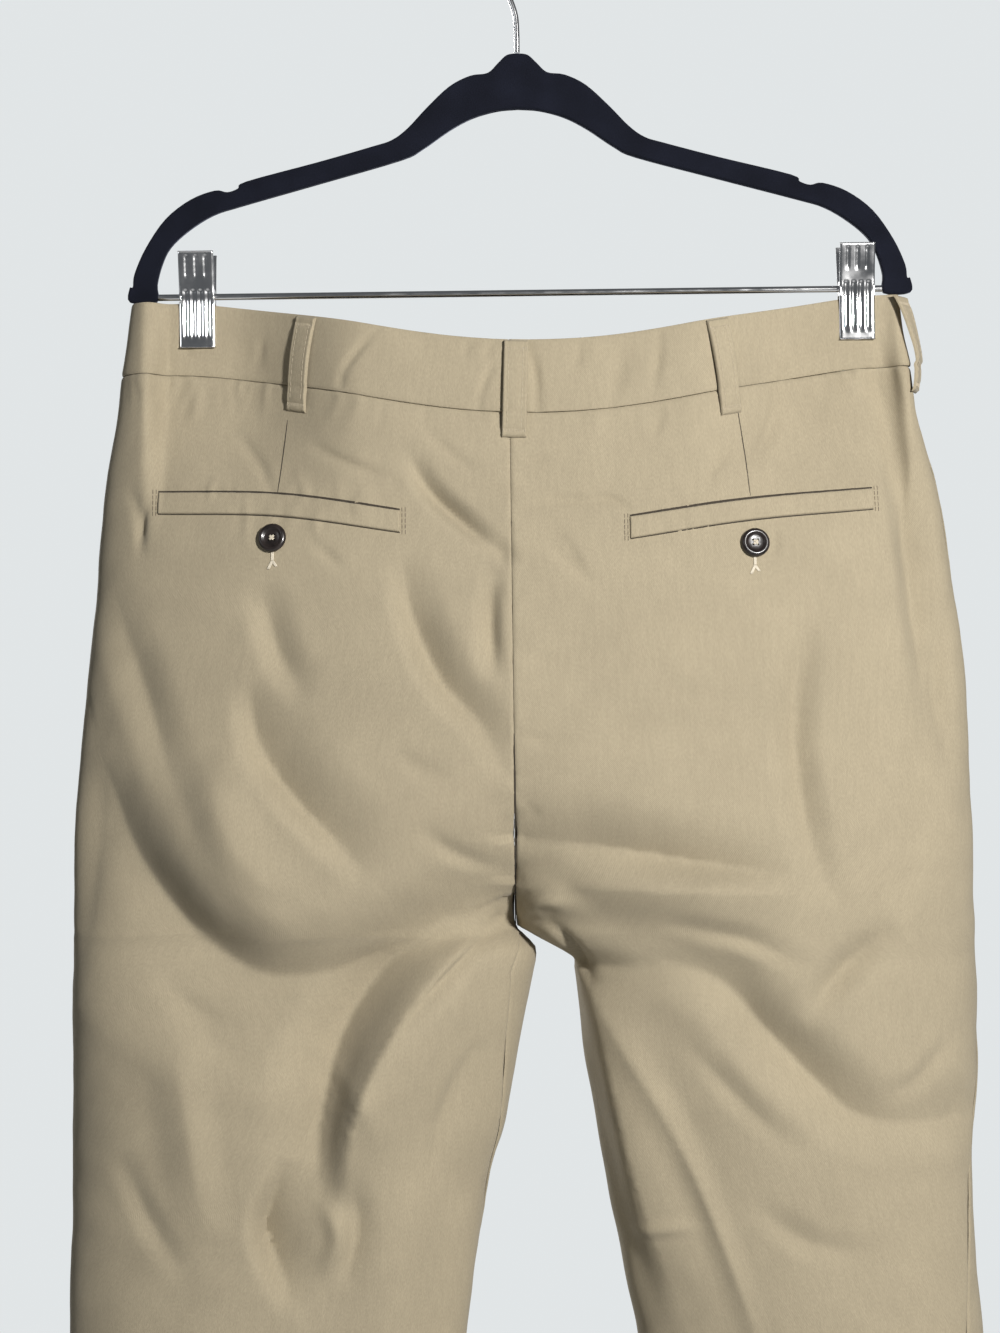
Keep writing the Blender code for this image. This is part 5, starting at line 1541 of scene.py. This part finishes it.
FINISHES = {
    "twill": twill_finish(),
    "thread": thread_finish("khaki_thread", (0.42, 0.36, 0.26)),
    "dark thread": thread_finish("dark_thread", (0.16, 0.13, 0.09)),
    "button thread": thread_finish("button_thread", (0.60, 0.54, 0.43)),
    # Painted shade for the dark strips in slits and seam ditches.
    "shade": grained_finish("slit_shade", SHADE, 1.0, (900, 2), (0.3, 0.7), (0.8, 1.2)),
    "horn": grained_finish(
        "horn_button", HORN, 0.32, (260, 4, (0.4, 1.0, 0.3)), (0.35, 0.65), (0.6, 1.6),
        Coat_Weight=0.3, Coat_Roughness=0.15,
    ),
    "velvet": velvet_finish(),
    "chrome": chrome_finish(),
}


# ---------------------------------------------------------------- the whole


def dress():
    """Every piece of cloth, sewing, trim and hanger."""
    seats = [make_panel(f"back_{word}", side, 1) for side, word in SIDES]
    fronts = [make_panel(f"front_{word}", side, -1) for side, word in SIDES]
    bands = [make_band(f"waistband_{word}", side) for side, word in SIDES]
    seat_tree = search_tree(seats)
    front_tree = search_tree(fronts)
    for side, word in SIDES:
        make_welt(seat_tree, side, word)
        make_pocket_edge(front_tree, side, word)
        make_button(f"pocket_button_{word}", seat_tree, BUTTONS[side], BUTTON_ACROSS, 1)
        buttonhole_tail(f"buttonhole_{word}", seat_tree, BUTTONS[side], 1)
    # Painted shade: dark strips along the darts and the centre seam's cleft stand in for the shadow in their seam
    # ditches.
    for number, run in enumerate(DARTS):
        ribbon(f"dart_shade_{number + 1}", seat_tree, run, 0.6, 1)
    ribbon("seat_cleft_shade", seat_tree, CLEFT, 1.0, 1, 0.15)
    make_fly(front_tree)
    tab = make_tab()
    make_button("waist_button", search_tree([tab]), WAIST_BUTTON, WAIST_BUTTON_ACROSS, -1)
    make_loops([*seats, *fronts, *bands])
    make_hems(seat_tree, front_tree)
    make_bow()
    make_hook()
    make_rod()
    for side, word in SIDES:
        make_spring(f"clip_spring_{word}", CLIPS[side])
        for facing, part in ((1, "seat"), (-1, "front")):
            make_jaw(f"clip_{word}_jaw_{part}", CLIPS[side], facing)


def make_hems(seat_tree, front_tree):
    """The line of stitching above each hem."""
    pairs = []
    level = (HEM_LEVEL + HEM_TALL) / MM
    for tree, facing in ((seat_tree, 1), (front_tree, -1)):
        for side, _ in SIDES:
            near, far = HEM_REACH[side]
            run = tuple((side * x, level) for x in np.linspace(near, far, 5))
            pairs += stitched(tree, run, facing, THREAD * 0.2)
    thread_mesh("hem_stitches", pairs)


def light(name, place, towards, size, power, colour):
    data = bpy.data.lights.new(name, "AREA")
    data.shape = "DISK"
    data.size = size
    data.energy = power
    data.color = colour
    made = bpy.data.objects.new(name, data)
    bpy.context.scene.collection.objects.link(made)
    made.location = place
    made.rotation_euler = (Vector(towards) - Vector(place)).to_track_quat("-Z", "Y").to_euler()


def set_stage():
    """A dim room with a pale wall behind the garment, a floor and the lights."""
    scene = bpy.context.scene
    bpy.ops.mesh.primitive_plane_add(size=5.2, location=(0, 0, FLOOR_LEVEL))
    floor = bpy.context.object
    floor.name = "floor"
    floor.data.materials.append(grained_finish("floor", FLOOR, 0.9, (2, 2), (0.3, 0.7), (0.99, 1.01)))
    world = bpy.data.worlds.new("room")
    world.use_nodes = True
    tree = world.node_tree
    towards = tree.nodes.new("ShaderNodeSeparateXYZ")
    tree.links.new(tree.nodes.new("ShaderNodeTexCoord").outputs["Generated"], towards.inputs[0])
    blend = tree.nodes.new("ShaderNodeMix")
    blend.data_type = "RGBA"
    tree.links.new(ranged(tree, towards.outputs["Y"], *WALL_FADE, 0, 1), blend.inputs["Factor"])
    blend.inputs["A"].default_value = (*ROOM, 1)
    blend.inputs["B"].default_value = (*WALL, 1)
    tree.links.new(blend.outputs["Result"], tree.nodes["Background"].inputs["Color"])
    scene.world = world
    for row in LIGHTS:
        light(*row)
    scene.view_settings.view_transform = "Standard"
    scene.view_settings.look = "None"


def set_camera():
    """The photograph's view: square to the seat, cropped at the thighs."""
    data = bpy.data.cameras.new("camera")
    data.sensor_fit = "VERTICAL"
    data.sensor_height = 36
    data.angle_y = 2 * math.atan(VIEW_TALL / 2 / -CAMERA_PLACE[1])
    camera = bpy.data.objects.new("camera", data)
    bpy.context.scene.collection.objects.link(camera)
    camera.location = CAMERA_PLACE
    tilt = Matrix.Rotation(math.radians(CAMERA_TILT), 4, "Z")
    camera.rotation_euler = (Matrix.Rotation(math.pi / 2, 4, "X") @ tilt).to_euler()
    data.clip_start = 0.05
    bpy.context.scene.camera = camera


SIDES = ((-1, "left"), (1, "right"))
FLOOR_LEVEL = -1.62
WALL = (0.755, 0.785, 0.795)
ROOM = (0.085, 0.09, 0.095)
WALL_FADE = (0.84, 0.92)  # the room's light is the pale wall's beyond this share of +Y
VIEW_TALL = 1333 * 0.57e-3  # what the picture's height shows at the hanger's plane
CAMERA_PLACE = (-0.0142, -1.4, -0.4336)
CAMERA_TILT = -0.74
LIGHTS = (
    # name, place, towards, size, power, colour
    ("key", (0.9, -1.8, 0.08), (0, 0, -0.46), 0.22, 60, (1.0, 0.985, 0.96)),
    ("window", (-1.5, -1.1, 0.1), (0, 0, -0.5), 0.7, 2.2, (0.95, 0.98, 1.0)),
    ("far side", (-0.9, 1.9, 0.1), (0, 0, -0.6), 0.8, 34, (1.0, 0.99, 0.97)),
)

dress()
set_stage()
set_camera()
